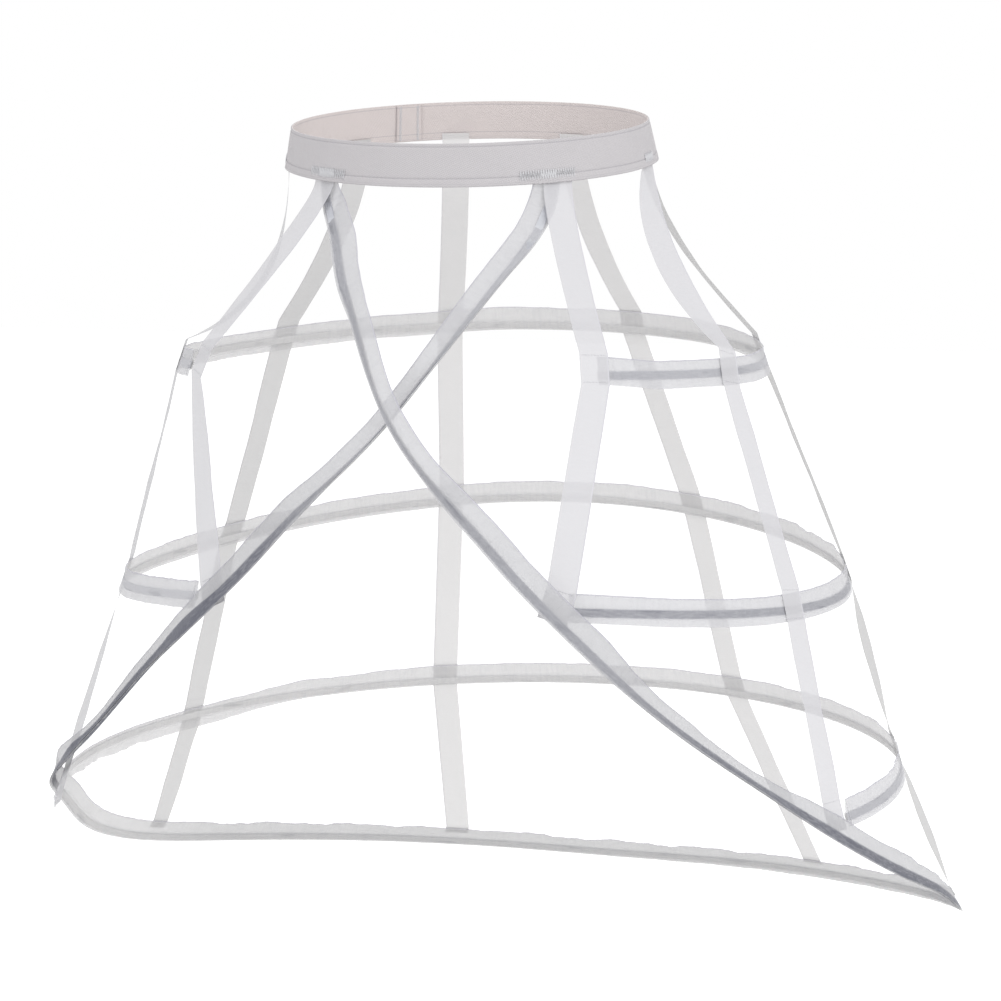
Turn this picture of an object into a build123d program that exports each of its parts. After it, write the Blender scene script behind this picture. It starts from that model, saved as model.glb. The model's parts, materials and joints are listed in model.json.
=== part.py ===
from build123d import *
import os
from math import atan2, cos, degrees, radians, sin

# A hoop petticoat frame as it hangs when worn: an elastic waistband, eight flat tapes,
# three boned hoops open at the front, and one long boned hoop that crosses over at the
# front and wraps round as the hem. Millimetres, +Z up, the front faces -Y, and the
# wearer's left is +X. The origin is the middle of the waistband's loop.

# Waistband, a woven elastic loop
waist_half_width = 129.5
waist_half_depth = 102.0
band_height = 28.5
band_thickness = 1.5
band_flare = 5.8
band_tilt = 8.0
band_lap = 18.0
band_lap_angle = -146.0

# Ribbon of the vertical tapes
tape_width = 20.0
tape_thickness = 0.6
tape_tuck = 10.0
tape_hem_lap = 7.0

# Flat hoop steel and the folded casing that carries it near its lower edge
steel_width = 5.5
steel_thickness = 0.8
steel_clearance = 0.3
casing_width = 19.0
casing_layer = 0.5
casing_edge = 0.8
casing_rim = 0.5
casing_seam = 0.1
steel_end_trim = 4.0

# Clearance between layers that are sewn together
sewing_gap = 0.3
wrap_top_gap = 1.4

# Upper hoop: drop below the waist, half sizes in plan, shift to the back, rise at the
# front and back over the sides, tip up at the left, lean of the casing, the angles where
# it ends, and how far the casing hangs below its steel along the way. A hang row holds
# the share of the way from the right end to the left end, and the hang. A side value
# moves a hoop to the left.
upper_drop = 150.0
upper_half_width = 211.0
upper_half_depth = 193.0
upper_shift = 19.0
upper_side = -4.0
upper_rise = 4.5
upper_tip = 1.5
upper_lean = 19.0
upper_end_right = -54.0
upper_end_left = 40.0
upper_hang = (
    (0.0, 4.0), (0.2, 5.0), (0.35, 3.0), (0.45, 0.0), (0.62, 0.0), (0.72, 3.0), (0.85, 5.0),
    (0.95, 5.0), (1.0, 2.0),
)

# Middle hoop
middle_drop = 304.0
middle_half_width = 266.0
middle_half_depth = 245.0
middle_shift = 35.0
middle_rise = 12.0
middle_tip = 2.5
middle_lean = 19.0
middle_end_right = -32.0
middle_end_left = 27.0
middle_hang = ((0.0, 4.5), (0.15, 3.0), (0.35, 2.0), (0.5, 0.0), (0.78, 1.0), (0.92, 4.5), (1.0, 2.5))

# Lower hoop
lower_drop = 452.0
lower_half_width = 308.0
lower_half_depth = 292.0
lower_shift = 22.0
lower_rise = 2.0
lower_tip = 9.0
lower_lean = 19.0
lower_end_right = -64.0
lower_end_left = 69.0
lower_hang = ((0.0, 9.0), (0.22, 9.0), (0.32, 0.5), (0.6, 0.0), (1.0, 2.0))

# Hem, the back of the wrap hoop
hem_drop = 608.0
hem_half_width = 358.0
hem_half_depth = 335.0
hem_shift = 64.0
hem_side = 9.0
hem_lean = 28.0

# Number of straight steps along each strip
upper_steps = 40
middle_steps = 48
lower_steps = 50
wrap_steps = 116
tape_span_steps = 14

# Where each tape meets the waist and the hoops below it, in degrees from the front
# centre. Front tapes stop at the middle hoop, side tapes at the lower hoop, and the
# others at the hem. The drape is how far a tape hangs straight from the waistband, as a
# share of its run to the upper hoop, before it swings out.
tape_angles = {
    "front_tape_left": (40, 36, 24.5),
    "front_tape_right": (-38, -48, -28),
    "side_tape_left": (84, 71, 67, 66),
    "side_tape_right": (-76, -75, -78, -61),
    "rear_side_tape_left": (117, 112, 106, 108, 103),
    "rear_side_tape_right": (-127, -121, -115.5, -115.5, -107),
    "back_tape_left": (158, 159, 156, 153, 148),
    "back_tape_right": (-162, -160, -159, -159, -158),
}
tape_drapes = {
    "front_tape_left": 0.2,
    "front_tape_right": 0.1,
    "side_tape_left": 0.45,
    "side_tape_right": 0.65,
    "rear_side_tape_left": 0.3,
    "rear_side_tape_right": 0.3,
    "back_tape_left": 0.3,
    "back_tape_right": 0.3,
}

# Routes of the wrap hoop's two halves, each from the side of the waist where it starts,
# across the front centre and round towards the back centre. The front half starts at the
# right and passes outside the other at the crossing. Each row is the angle from the front
# centre, away from the half's own start, the level (0 waist, 1 upper, 2 middle, 3 lower
# hoop, 4 hem), how far the strip stands out from the hoops, its share of the parting at
# the crossing, and the turn of the casing about its steel. The free edge turns inwards
# where the turn is positive.
wrap_waist_angle = 39.0
crossing_turn = 62.0
crossing_gap = 0.6
wrap_front_route = (
    (-33.5, 0.31, -20.5, 0.0, 12.0),
    (-22.5, 0.42, -9.0, 0.05, 24.0),
    (-14.0, 0.59, 2.5, 0.4, 10.0),
    (-6.5, 0.80, 11.0, 0.85, -38.0),
    (0.0, 1.11, 15.5, 1.0, -crossing_turn),
    (6.5, 1.40, 15.5, 0.85, -crossing_turn),
    (14.0, 1.66, 12.0, 0.4, -30.0),
    (20.5, 1.89, 8.5, 0.1, 0.0),
    (28.0, 2.12, 7.8, 0.0, 0.0),
    (38.5, 2.41, 4.6, 0.0, 32.0),
    (51.0, 2.72, 6.0, 0.0, 40.0),
    (63.5, 3.03, 9.6, 0.0, 6.0),
    (76.0, 3.29, 6.5, 0.0, 2.0),
    (88.0, 3.48, 1.5, 0.0, 10.0),
    (100.0, 3.68, 0.0, 0.0, 6.0),
    (116.0, 3.83, 0.0, 0.0, 0.0),
    (131.0, 3.93, 0.0, 0.0, 0.0),
    (147.0, 4.01, 0.0, 0.0, 0.0),
    (164.0, 4.07, 0.0, 0.0, 0.0),
)
wrap_behind_route = (
    (-33.5, 0.37, -21.5, 0.0, 30.0),
    (-22.5, 0.56, -9.0, 0.05, 50.0),
    (-14.0, 0.77, 2.5, 0.4, 55.0),
    (-6.5, 1.02, 11.0, 0.85, crossing_turn),
    (0.0, 1.24, 15.5, 1.0, crossing_turn),
    (6.5, 1.43, 15.5, 0.85, 50.0),
    (14.0, 1.64, 12.0, 0.4, 12.0),
    (20.5, 1.84, 8.5, 0.1, 0.0),
    (28.0, 2.04, 5.8, 0.0, 0.0),
    (38.5, 2.31, 4.6, 0.0, 40.0),
    (51.0, 2.64, 4.6, 0.0, 42.0),
    (63.5, 2.87, 6.6, 0.0, 10.0),
    (76.0, 3.06, 8.0, 0.0, 4.0),
    (84.0, 3.23, 6.0, 0.0, 6.0),
    (91.0, 3.43, 2.5, 0.0, 8.0),
    (99.0, 3.59, 0.0, 0.0, 6.0),
    (111.0, 3.75, 0.0, 0.0, 0.0),
    (126.0, 3.88, 0.0, 0.0, 0.0),
    (144.0, 3.99, 0.0, 0.0, 0.0),
    (163.0, 4.07, 0.0, 0.0, 0.0),
)
wrap_back_level = 4.10
wrap_hang = ((0.0, 0.0), (0.3, 0.0), (0.42, 3.0), (0.55, 1.0), (0.7, 0.0), (1.0, 0.0))


class Level:
    """One ring of the skirt: its plan ellipse, its height and the lean of what hangs there."""

    def __init__(
        self, drop, half_width, half_depth, shift=0.0, side=0.0, rise=0.0, tip=0.0, lean=0.0
    ):
        self.drop = drop
        self.half_width = half_width
        self.half_depth = half_depth
        self.shift = shift
        self.side = side
        self.rise = rise
        self.tip = tip
        self.lean = lean

    def point(self, angle, out=0.0):
        a = radians(angle)
        height = -self.drop + self.rise * cos(2 * a) + self.tip * sin(a)
        return Vector(
            self.side + (self.half_width + out) * sin(a),
            self.shift - (self.half_depth + out) * cos(a),
            height,
        )

    def outward(self, angle):
        a = radians(angle)
        return Vector(self.half_depth * sin(a), -self.half_width * cos(a), 0).normalized()


waist = Level(0.0, waist_half_width, waist_half_depth)
upper = Level(
    upper_drop, upper_half_width, upper_half_depth, upper_shift, side=upper_side,
    rise=upper_rise, tip=upper_tip, lean=upper_lean,
)
middle = Level(
    middle_drop, middle_half_width, middle_half_depth, middle_shift,
    rise=middle_rise, tip=middle_tip, lean=middle_lean,
)
lower = Level(
    lower_drop, lower_half_width, lower_half_depth, lower_shift,
    rise=lower_rise, tip=lower_tip, lean=lower_lean,
)
hem = Level(hem_drop, hem_half_width, hem_half_depth, hem_shift, side=hem_side, lean=hem_lean)
levels = (waist, upper, middle, lower, hem)

# The casing's section, about the centre line of its steel: width upwards, outward depth.
# It is one ribbon folded double. Its outer face is flat, the channel stands on its inner
# face, and the two layers lie together along the lower edge, where they are sewn shut.
channel_half = steel_width / 2 + steel_clearance
casing_low = -(channel_half + casing_edge + casing_rim)
casing_high = casing_low + casing_width
casing_flat = 2 * casing_layer
casing_depth = casing_flat + steel_thickness + 2 * steel_clearance
steel_depth = -(casing_layer + steel_clearance + steel_thickness / 2)


def casing_section(hang):
    """The casing's outline where it hangs by this much below its steel's channel."""
    low, high = casing_low - hang, casing_high - hang
    return (
        (low, 0.0),
        (high, 0.0),
        (high, -casing_flat),
        (channel_half + casing_edge, -casing_flat),
        (channel_half, -casing_depth),
        (-channel_half, -casing_depth),
        (-channel_half - casing_edge, -casing_flat),
        (low, -casing_flat),
        (low, -casing_layer - casing_seam),
        (-channel_half, -casing_layer - casing_seam),
        (-channel_half, -casing_depth + casing_layer),
        (channel_half, -casing_depth + casing_layer),
        (channel_half, -casing_layer),
        (low, -casing_layer),
    )


steel_section = (
    (-steel_width / 2, steel_depth - steel_thickness / 2),
    (steel_width / 2, steel_depth - steel_thickness / 2),
    (steel_width / 2, steel_depth + steel_thickness / 2),
    (-steel_width / 2, steel_depth + steel_thickness / 2),
)
tape_section = (
    (-tape_width / 2, 0.0),
    (tape_width / 2, 0.0),
    (tape_width / 2, tape_thickness),
    (-tape_width / 2, tape_thickness),
)


def between(rows, share):
    """The value at a share of the way through rows of (share, value), eased between rows."""
    for (start, low), (end, high) in zip(rows, rows[1:]):
        if share <= end:
            step = (share - start) / (end - start)
            return low + (high - low) * step * step * (3 - 2 * step)
    return rows[-1][1]


def frame_at(point, along, outward, turn=0.0):
    """A strip's station: its point, its width direction and its outward face direction."""
    face = (outward - along * outward.dot(along)).normalized()
    across = face.cross(along).normalized()
    if turn:
        a = radians(turn)
        across, face = across * cos(a) - face * sin(a), face * cos(a) + across * sin(a)
    return point, across, face


def strip(stations, sections):
    """A solid through every station, each with its own flat-sided section."""
    wires = [
        Wire.make_polygon([point + across * w + face * n for w, n in section], close=True)
        for (point, across, face), section in zip(stations, sections)
    ]
    return Solid.make_loft(wires, ruled=True)


def casing_and_steel(stations, hang_rows):
    """The folded casing and the steel inside its channel, which stops short of its ends."""
    last = len(stations) - 1
    sections = [casing_section(between(hang_rows, i / last)) for i in range(last + 1)]
    steel = strip(shortened(stations, steel_end_trim), [steel_section] * (last + 1))
    return strip(stations, sections), steel


def shortened(stations, length):
    """The stations with a length taken off each end."""
    cut = list(stations)
    for first, second in ((0, 1), (-1, -2)):
        point, across, face = cut[first]
        step = cut[second][0] - point
        cut[first] = (point + step.normalized() * length, across, face)
    return cut


def up_the_casing(level, angle):
    """The direction up a hoop casing's face, which leans in towards the waist."""
    lean = radians(level.lean)
    return Vector(0, 0, cos(lean)) - level.outward(angle) * sin(lean)


def hoop_stations(level, start, end, steps):
    """Stations round the back of a hoop, from its right end to its left end."""
    sweep = 360 - (end - start)
    angles = [start - sweep * i / steps for i in range(steps + 1)]
    stations = []
    for angle in angles:
        along = (level.point(angle - 1) - level.point(angle + 1)).normalized()
        up = up_the_casing(level, angle)
        up = (up - along * up.dot(along)).normalized()
        face = along.cross(up)
        if face.dot(level.outward(angle)) < 0:
            face = face * -1
        stations.append((level.point(angle), up, face))
    return stations


# Waistband. It tilts so that the back sits higher, and it is wider at its lower edge.
band_plane = Plane.XY.rotated((band_tilt, 0, 0))


def band_point(angle, height, inset):
    """A point inside the band's wall: angle, height above the lower edge, inset from its inner face."""
    a = radians(angle)
    reach = band_flare * (0.5 - height / band_height) - band_thickness / 2 - inset
    return band_plane.from_local_coords(
        Vector(
            (waist_half_width + reach) * sin(a),
            -(waist_half_depth + reach) * cos(a),
            height - band_height / 2,
        )
    )


def band_loop(inset, depth):
    """A closed elliptical wall between two insets from the middle of the band."""
    def solid(offset):
        rings = []
        for height, grow in ((-band_height / 2, band_flare / 2), (band_height / 2, -band_flare / 2)):
            ring = Ellipse(waist_half_width + grow + offset, waist_half_depth + grow + offset)
            rings.append(band_plane * Pos(0, 0, height) * ring)
        return loft(rings)

    return solid(inset + depth) - solid(inset)


def waistband():
    """The elastic loop, with the short lap of its sewn join on the inside."""
    loop = band_loop(-band_thickness / 2, band_thickness)
    lap = band_loop(-1.5 * band_thickness, band_thickness)
    slot = Plane(waist.point(band_lap_angle), z_dir=waist.outward(band_lap_angle))
    return loop + (lap & slot * Box(band_lap, 3 * band_height, 8 * band_thickness))


def ellipse_sag(level, angle, half_chord):
    """How far a chord of a level's ellipse stands inside the curve at its middle."""
    a = radians(angle)
    wide, deep = level.half_width, level.half_depth
    radius = (wide**2 * cos(a) ** 2 + deep**2 * sin(a) ** 2) ** 1.5 / (wide * deep)
    return half_chord**2 / (2 * radius)


def tape(name):
    """A tape, from inside the waistband down the outer faces of the hoops."""
    angles = tape_angles[name]
    top, edge = (band_point(angles[0], height, tape_inset(angles[0])) for height in (tape_tuck, 0))
    stops = [(top, edge, waist.outward(angles[0]))]
    for index in range(1, len(angles)):
        if levels[index] is hem:
            stops.append(hem_stop(angles[index]))
        else:
            stops.append(hoop_stop(angles, index))
    stations = tape_run(stops, tape_drapes[name])
    return strip(stations, [tape_section] * len(stations))


def tape_inset(angle):
    """Depth of a tape's inner face from the band's inner face, so that its edges clear it."""
    return sewing_gap + tape_thickness + ellipse_sag(waist, angle, tape_width / 2)


def hoop_stop(angles, index):
    """Where a tape is sewn down the outer face of a hoop's casing, slanting as it falls."""
    level, angle = levels[index], angles[index]
    up = up_the_casing(level, angle)
    outward = level.outward(angle)
    face = (outward - up * outward.dot(up)).normalized()
    base = level.point(angle) + face * sewing_gap
    side = up.cross(face)
    fall = (side * slant(angles, index - 1, side) - up).normalized()
    start, end = ends[index - 1]
    share = (start - angle) % 360 / ((start - end) % 360)
    reach = casing_low - between(hangs[index - 1], share) - sewing_gap
    return base - fall * (casing_high + sewing_gap), base - fall * reach, face


def slant(angles, index, side):
    """Sideways run of a tape's span for each millimetre of its length, along a direction."""
    start = levels[index].point(angles[index])
    end = levels[index + 1].point(angles[index + 1])
    straight_down = levels[index + 1].point(angles[index])
    return (end - straight_down).dot(side) / (end - start).length


def tape_run(stops, drape):
    """Stations through each sewn stretch of a tape and the free spans between them."""
    stations = []
    for number, (start, end, face) in enumerate(stops):
        along = (end - start).normalized()
        stations.append(frame_at(start, along, face))
        stations.append(frame_at(end, along, face))
        if number < len(stops) - 1:
            finish = stops[number + 1][0]
            bend = (end + finish) / 2
            if number == 0:
                bend = end - Vector(0, 0, (finish - end).length * drape)
            stations += free_span(end, bend, along, face, stops[number + 1])
    return stations


def free_span(start, bend, fall, face, next_stop):
    """Stations between two sewn stretches, curving past a bend point and turning evenly."""
    finish, next_end, next_face = next_stop
    next_fall = (next_end - finish).normalized()
    stations = []
    for step in range(1, tape_span_steps):
        s = step / tape_span_steps
        point = start * (1 - s) ** 2 + bend * (2 * s * (1 - s)) + finish * s**2
        ahead = ((bend - start) * (1 - s) + (finish - bend) * s).normalized()
        along = fall * (1 - s) ** 2 + ahead * (2 * s * (1 - s)) + next_fall * s**2
        stations.append(frame_at(point, along.normalized(), face * (1 - s) + next_face * s))
    return stations


def skirt_point(angle, position, out):
    """A point of the skirt at an angle and a level, part levels lying in between."""
    index = min(int(position), len(levels) - 2)
    share = position - index
    start = levels[index].point(angle, out)
    end = levels[index + 1].point(angle, out)
    return start * (1 - share) + end * share


def wrap_half(route, hand, parting):
    """Points of one half of the wrap hoop, parted from the other at the crossing.

    The hand is 1 for the half that runs towards the left and -1 for the other.
    """
    inset = tape_inset(wrap_waist_angle) + wrap_top_gap
    angle = -hand * wrap_waist_angle
    points = [band_point(angle, height, inset) for height in (tape_tuck, 0.0)]
    for angle, position, out, share, _ in route:
        points.append(skirt_point(hand * angle, position, out + parting * share))
    return points


def wrap_points():
    """Points along the whole wrap hoop, from its start at the right to its end at the left."""
    turn = radians(crossing_turn)
    reach = -2 * casing_low * sin(turn) + casing_depth * cos(turn)
    parting = (reach + crossing_gap) / 2
    front = wrap_half(wrap_front_route, 1, parting)
    behind = wrap_half(wrap_behind_route, -1, -parting)
    return front + [skirt_point(180, wrap_back_level, 0.0)] + behind[::-1]


def skirt_outward(point):
    """The outward face direction of the skirt beside a point."""
    drops = [level.drop for level in levels]
    depth = -point.Z
    index = max(i for i in range(4) if drops[i] <= max(depth, 0))
    near, far = levels[index], levels[index + 1]
    share = (depth - drops[index]) / (drops[index + 1] - drops[index])
    wide = near.half_width + (far.half_width - near.half_width) * share
    deep = near.half_depth + (far.half_depth - near.half_depth) * share
    shift = near.shift + (far.shift - near.shift) * share
    side = near.side + (far.side - near.side) * share
    flat = Vector((point.X - side) / wide**2, (point.Y - shift) / deep**2, 0).normalized()
    lean = radians(near.lean + (far.lean - near.lean) * share)
    return (flat * cos(lean) + Vector(0, 0, sin(lean))).normalized()


def wrap_stations():
    """Stations of the wrap hoop, parted at the crossing and turned as its casing lies."""
    points = wrap_points()
    front = [row[4] for row in wrap_front_route]
    behind = [row[4] for row in wrap_behind_route]
    turns = [0.0, 0.0] + front + [0.0] + behind[::-1] + [0.0, 0.0]
    walked = [0.0]
    for first, second in zip(points, points[1:]):
        walked.append(walked[-1] + (second - first).length)
    rows = [(length / walked[-1], turn) for length, turn in zip(walked, turns)]
    line = Spline(points)
    stations = []
    for step in range(wrap_steps + 1):
        share = step / wrap_steps
        point = line.position_at(share)
        along = line.tangent_at(share)
        stations.append(frame_at(point, along, skirt_outward(point), between(rows, share)))
    return stations


def hem_stop(angle):
    """Where a tape is sewn on the outside of the wrap hoop's casing at the hem."""
    rows = [(station, turn_from(angle, station[0])) for station in wrap if station[0].Z < -lower_drop]
    for (first, before), (second, after) in zip(rows, rows[1:]):
        if before <= 0 < after:
            share = -before / (after - before)
            point, up, face = (a * (1 - share) + b * share for a, b in zip(first, second))
            base = point + face * sewing_gap
            start = base + up * (casing_high + sewing_gap)
            return start, base + up * (casing_high - tape_hem_lap), face
    raise ValueError("no hem at that angle")


def turn_from(angle, point):
    """Angle of a point round the hem's ellipse, counted from a given angle."""
    around = atan2((point.X - hem.side) / hem.half_width, (hem.shift - point.Y) / hem.half_depth)
    return (degrees(around) - angle + 180) % 360 - 180


ends = (
    (upper_end_right, upper_end_left),
    (middle_end_right, middle_end_left),
    (lower_end_right, lower_end_left),
)
hangs = (upper_hang, middle_hang, lower_hang)
wrap = wrap_stations()
hoops = {
    "upper_hoop": (hoop_stations(upper, *ends[0], upper_steps), upper_hang),
    "middle_hoop": (hoop_stations(middle, *ends[1], middle_steps), middle_hang),
    "lower_hoop": (hoop_stations(lower, *ends[2], lower_steps), lower_hang),
    "wrap_hoop": (wrap, wrap_hang),
}

os.makedirs("parts", exist_ok=True)
export_step(waistband(), "parts/waistband.step")
for name in tape_angles:
    export_step(tape(name), f"parts/{name}.step")
for name, (stations, hang_rows) in hoops.items():
    casing, steel = casing_and_steel(stations, hang_rows)
    export_step(casing, f"parts/{name}_casing.step")
    export_step(steel, f"parts/{name}_steel.step")
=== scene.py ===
"""A hoop petticoat frame: woven waistband, ribbon tapes and boned casings, as worn."""

import json
import logging
import math
from dataclasses import dataclass, field
from enum import Enum
from typing import NamedTuple, Optional, Sequence

import bmesh
import bpy
import numpy as np
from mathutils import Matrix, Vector

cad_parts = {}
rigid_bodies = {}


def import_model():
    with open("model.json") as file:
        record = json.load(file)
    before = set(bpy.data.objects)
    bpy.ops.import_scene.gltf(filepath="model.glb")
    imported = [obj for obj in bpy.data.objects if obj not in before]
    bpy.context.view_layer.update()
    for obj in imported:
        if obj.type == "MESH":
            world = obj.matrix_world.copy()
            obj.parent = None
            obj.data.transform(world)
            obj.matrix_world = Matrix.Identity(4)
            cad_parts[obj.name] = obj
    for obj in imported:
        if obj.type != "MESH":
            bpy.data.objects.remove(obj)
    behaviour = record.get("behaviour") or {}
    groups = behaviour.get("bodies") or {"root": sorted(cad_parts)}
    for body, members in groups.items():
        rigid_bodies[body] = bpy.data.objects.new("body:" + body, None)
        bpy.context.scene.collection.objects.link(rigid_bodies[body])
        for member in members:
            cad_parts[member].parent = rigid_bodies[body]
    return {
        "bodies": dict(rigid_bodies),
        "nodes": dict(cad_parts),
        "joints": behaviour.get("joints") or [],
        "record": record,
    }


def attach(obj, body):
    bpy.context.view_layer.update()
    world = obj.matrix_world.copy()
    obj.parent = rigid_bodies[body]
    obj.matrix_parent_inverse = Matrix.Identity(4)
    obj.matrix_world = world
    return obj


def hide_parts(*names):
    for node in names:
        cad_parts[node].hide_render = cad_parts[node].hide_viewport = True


logging.basicConfig(level=logging.INFO, format="%(name)s: %(message)s")
log = logging.getLogger("petticoat")

MM = 0.001
Point = np.ndarray
Rows = Sequence[tuple[float, float]]
Colour = tuple[float, float, float, float]


class Slot(Enum):
    """Names of the part's material slots."""

    ELASTIC = "elastic"
    TAPE = "tape"
    CASING = "casing"


class Station(NamedTuple):
    """One cross-section of a strip: its place, its width direction and its outward face."""

    point: Point
    across: Point
    face: Point


def unit(vector: Point) -> Point:
    """The vector at length one."""
    return vector / np.linalg.norm(vector)


def eased(rows: Rows, share: float) -> float:
    """The value at a share of the way through rows of (share, value).

    Args:
        rows: shares in rising order, each with its value.
        share: where to read, from 0 to 1.

    Returns:
        The value, eased between the two nearest rows.
    """
    for (start, low), (end, high) in zip(rows, rows[1:]):
        if share <= end:
            step = (share - start) / (end - start)
            return low + (high - low) * step * step * (3 - 2 * step)
    return rows[-1][1]


def station(point: Point, along: Point, outward: Point, turn: float = 0.0) -> Station:
    """A strip's station, square to its run and facing outwards.

    Args:
        point: the place of the station, in millimetres.
        along: the direction that the strip runs in.
        outward: roughly where its face looks.
        turn: degrees that the strip turns about its run, free edge inwards.

    Returns:
        The station.
    """
    face = unit(outward - along * outward.dot(along))
    across = unit(np.cross(face, along))
    if turn:
        a = math.radians(turn)
        across, face = (
            across * math.cos(a) - face * math.sin(a),
            face * math.cos(a) + across * math.sin(a),
        )
    return Station(point, across, face)


def ripple(x: float, seed: float) -> float:
    """A gentle uneven wave of about one unit, the same on every run.

    Args:
        x: where along the wave, in radians of its longest part.
        seed: a number that shifts the wave, different for each piece.

    Returns:
        The wave's height.
    """
    return (
        0.55 * math.sin(x + 1.7 * seed)
        + 0.3 * math.sin(2.3 * x + 4.1 * seed)
        + 0.15 * math.sin(5.1 * x + 2.9 * seed)
    )


@dataclass
class Ring:
    """A level of the skirt: its plan ellipse, height and the lean of the cloth there."""

    drop: float
    half_width: float
    half_depth: float
    shift: float = 0.0
    side: float = 0.0
    rise: float = 0.0
    tip: float = 0.0
    lean: float = 0.0

    def point(self, angle: float, out: float = 0.0) -> Point:
        """The ring's point at an angle.

        Args:
            angle: degrees from the front centre, rising towards the wearer's left.
            out: how far the point stands out of the ring.

        Returns:
            The point, in millimetres.
        """
        a = math.radians(angle)
        return np.array(
            [
                self.side + (self.half_width + out) * math.sin(a),
                self.shift - (self.half_depth + out) * math.cos(a),
                -self.drop + self.rise * math.cos(2 * a) + self.tip * math.sin(a),
            ]
        )

    def outward(self, angle: float) -> Point:
        """The level direction that faces out of the ring at an angle."""
        a = math.radians(angle)
        return unit(np.array([self.half_depth * math.sin(a), -self.half_width * math.cos(a), 0.0]))

    def up_the_cloth(self, angle: float) -> Point:
        """The direction up a casing's face, which leans in towards the waist."""
        a = math.radians(self.lean)
        return np.array([0.0, 0.0, math.cos(a)]) - self.outward(angle) * math.sin(a)


@dataclass
class Skirt:
    """The shape that every strip hangs on: the waist, three hoops and the hem."""

    waist: Ring = field(default_factory=lambda: Ring(0, 129.5, 102))
    upper: Ring = field(
        default_factory=lambda: Ring(150, 211, 193, 19, side=-4, rise=4.5, tip=1.5, lean=19)
    )
    middle: Ring = field(
        default_factory=lambda: Ring(304, 266, 245, 35, rise=12, tip=2.5, lean=19)
    )
    lower: Ring = field(default_factory=lambda: Ring(452, 308, 292, 22, rise=2, tip=9, lean=19))
    hem: Ring = field(default_factory=lambda: Ring(608, 358, 335, 64, side=9, lean=28))

    @property
    def rings(self) -> tuple[Ring, ...]:
        """The rings from the waist down."""
        return (self.waist, self.upper, self.middle, self.lower, self.hem)

    def point(self, angle: float, position: float, out: float) -> Point:
        """A point of the skirt, part levels lying in between two rings.

        Args:
            angle: degrees from the front centre.
            position: the level, 0 at the waist and 4 at the hem.
            out: how far the point stands out of the skirt.

        Returns:
            The point, in millimetres.
        """
        index = min(int(position), len(self.rings) - 2)
        share = position - index
        start = self.rings[index].point(angle, out)
        end = self.rings[index + 1].point(angle, out)
        return start * (1 - share) + end * share

    def outward(self, point: Point) -> Point:
        """The direction that faces out of the skirt beside a point.

        Args:
            point: a place on the skirt or near it.

        Returns:
            The direction, at length one.
        """
        depth = -point[2]
        index = max(i for i in range(4) if self.rings[i].drop <= max(depth, 0))
        near, far = self.rings[index], self.rings[index + 1]
        share = (depth - near.drop) / (far.drop - near.drop)

        def mix(name: str) -> float:
            """A size of the ring at this depth."""
            return getattr(near, name) * (1 - share) + getattr(far, name) * share

        flat = unit(
            np.array(
                [
                    (point[0] - mix("side")) / mix("half_width") ** 2,
                    (point[1] - mix("shift")) / mix("half_depth") ** 2,
                    0.0,
                ]
            )
        )
        a = math.radians(mix("lean"))
        return unit(flat * math.cos(a) + np.array([0.0, 0.0, math.sin(a)]))


# Sizes of the ribbons and of their sewing in millimetres, the pitch of the cloth's rows,
# and the lap's place in degrees from the front centre.
TAPE_WIDTH = 20.0
TAPE_THICKNESS = 0.6
SEWING_GAP = 0.3
STITCH_HALF = 8.5
PITCH = 3.0
LAP_ANGLE = -146.0
CASING_WIDTH = 19.0
CHANNEL_HALF = 3.05
CASING_LOW = -4.35
CASING_HIGH = CASING_LOW + CASING_WIDTH


@dataclass
class Band:
    """Size and pose of the elastic loop: half sizes, height, wall, spread and tilt."""

    half_width: float = 129.5
    half_depth: float = 102.0
    height: float = 28.5
    thickness: float = 1.5
    flare: float = 5.8
    tilt: float = 8.0

    def point(self, angle: float, height: float, inset: float) -> Point:
        """A point in the band's wall.

        Args:
            angle: degrees from the front centre.
            height: height over the lower edge.
            inset: depth from the inner face, below zero inside the wall.

        Returns:
            The point, in millimetres.
        """
        a, t = math.radians(angle), math.radians(self.tilt)
        reach = self.flare * (0.5 - height / self.height) - self.thickness / 2 - inset
        x = (self.half_width + reach) * math.sin(a)
        y = -(self.half_depth + reach) * math.cos(a)
        z = height - self.height / 2
        return np.array([x, y * math.cos(t) - z * math.sin(t), y * math.sin(t) + z * math.cos(t)])

    def sag(self, angle: float, half_chord: float) -> float:
        """How far a chord of the loop stands inside the curve at its middle.

        Args:
            angle: degrees from the front centre.
            half_chord: half the chord's length.

        Returns:
            The distance.
        """
        a = math.radians(angle)
        wide, deep = self.half_width, self.half_depth
        radius = (wide**2 * math.cos(a) ** 2 + deep**2 * math.sin(a) ** 2) ** 1.5 / (wide * deep)
        return half_chord**2 / (2 * radius)

    def tape_inset(self, angle: float) -> float:
        """Depth at which a tape lies behind the band's inner face, edges clear of it."""
        return SEWING_GAP + TAPE_THICKNESS + self.sag(angle, TAPE_WIDTH / 2)


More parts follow.
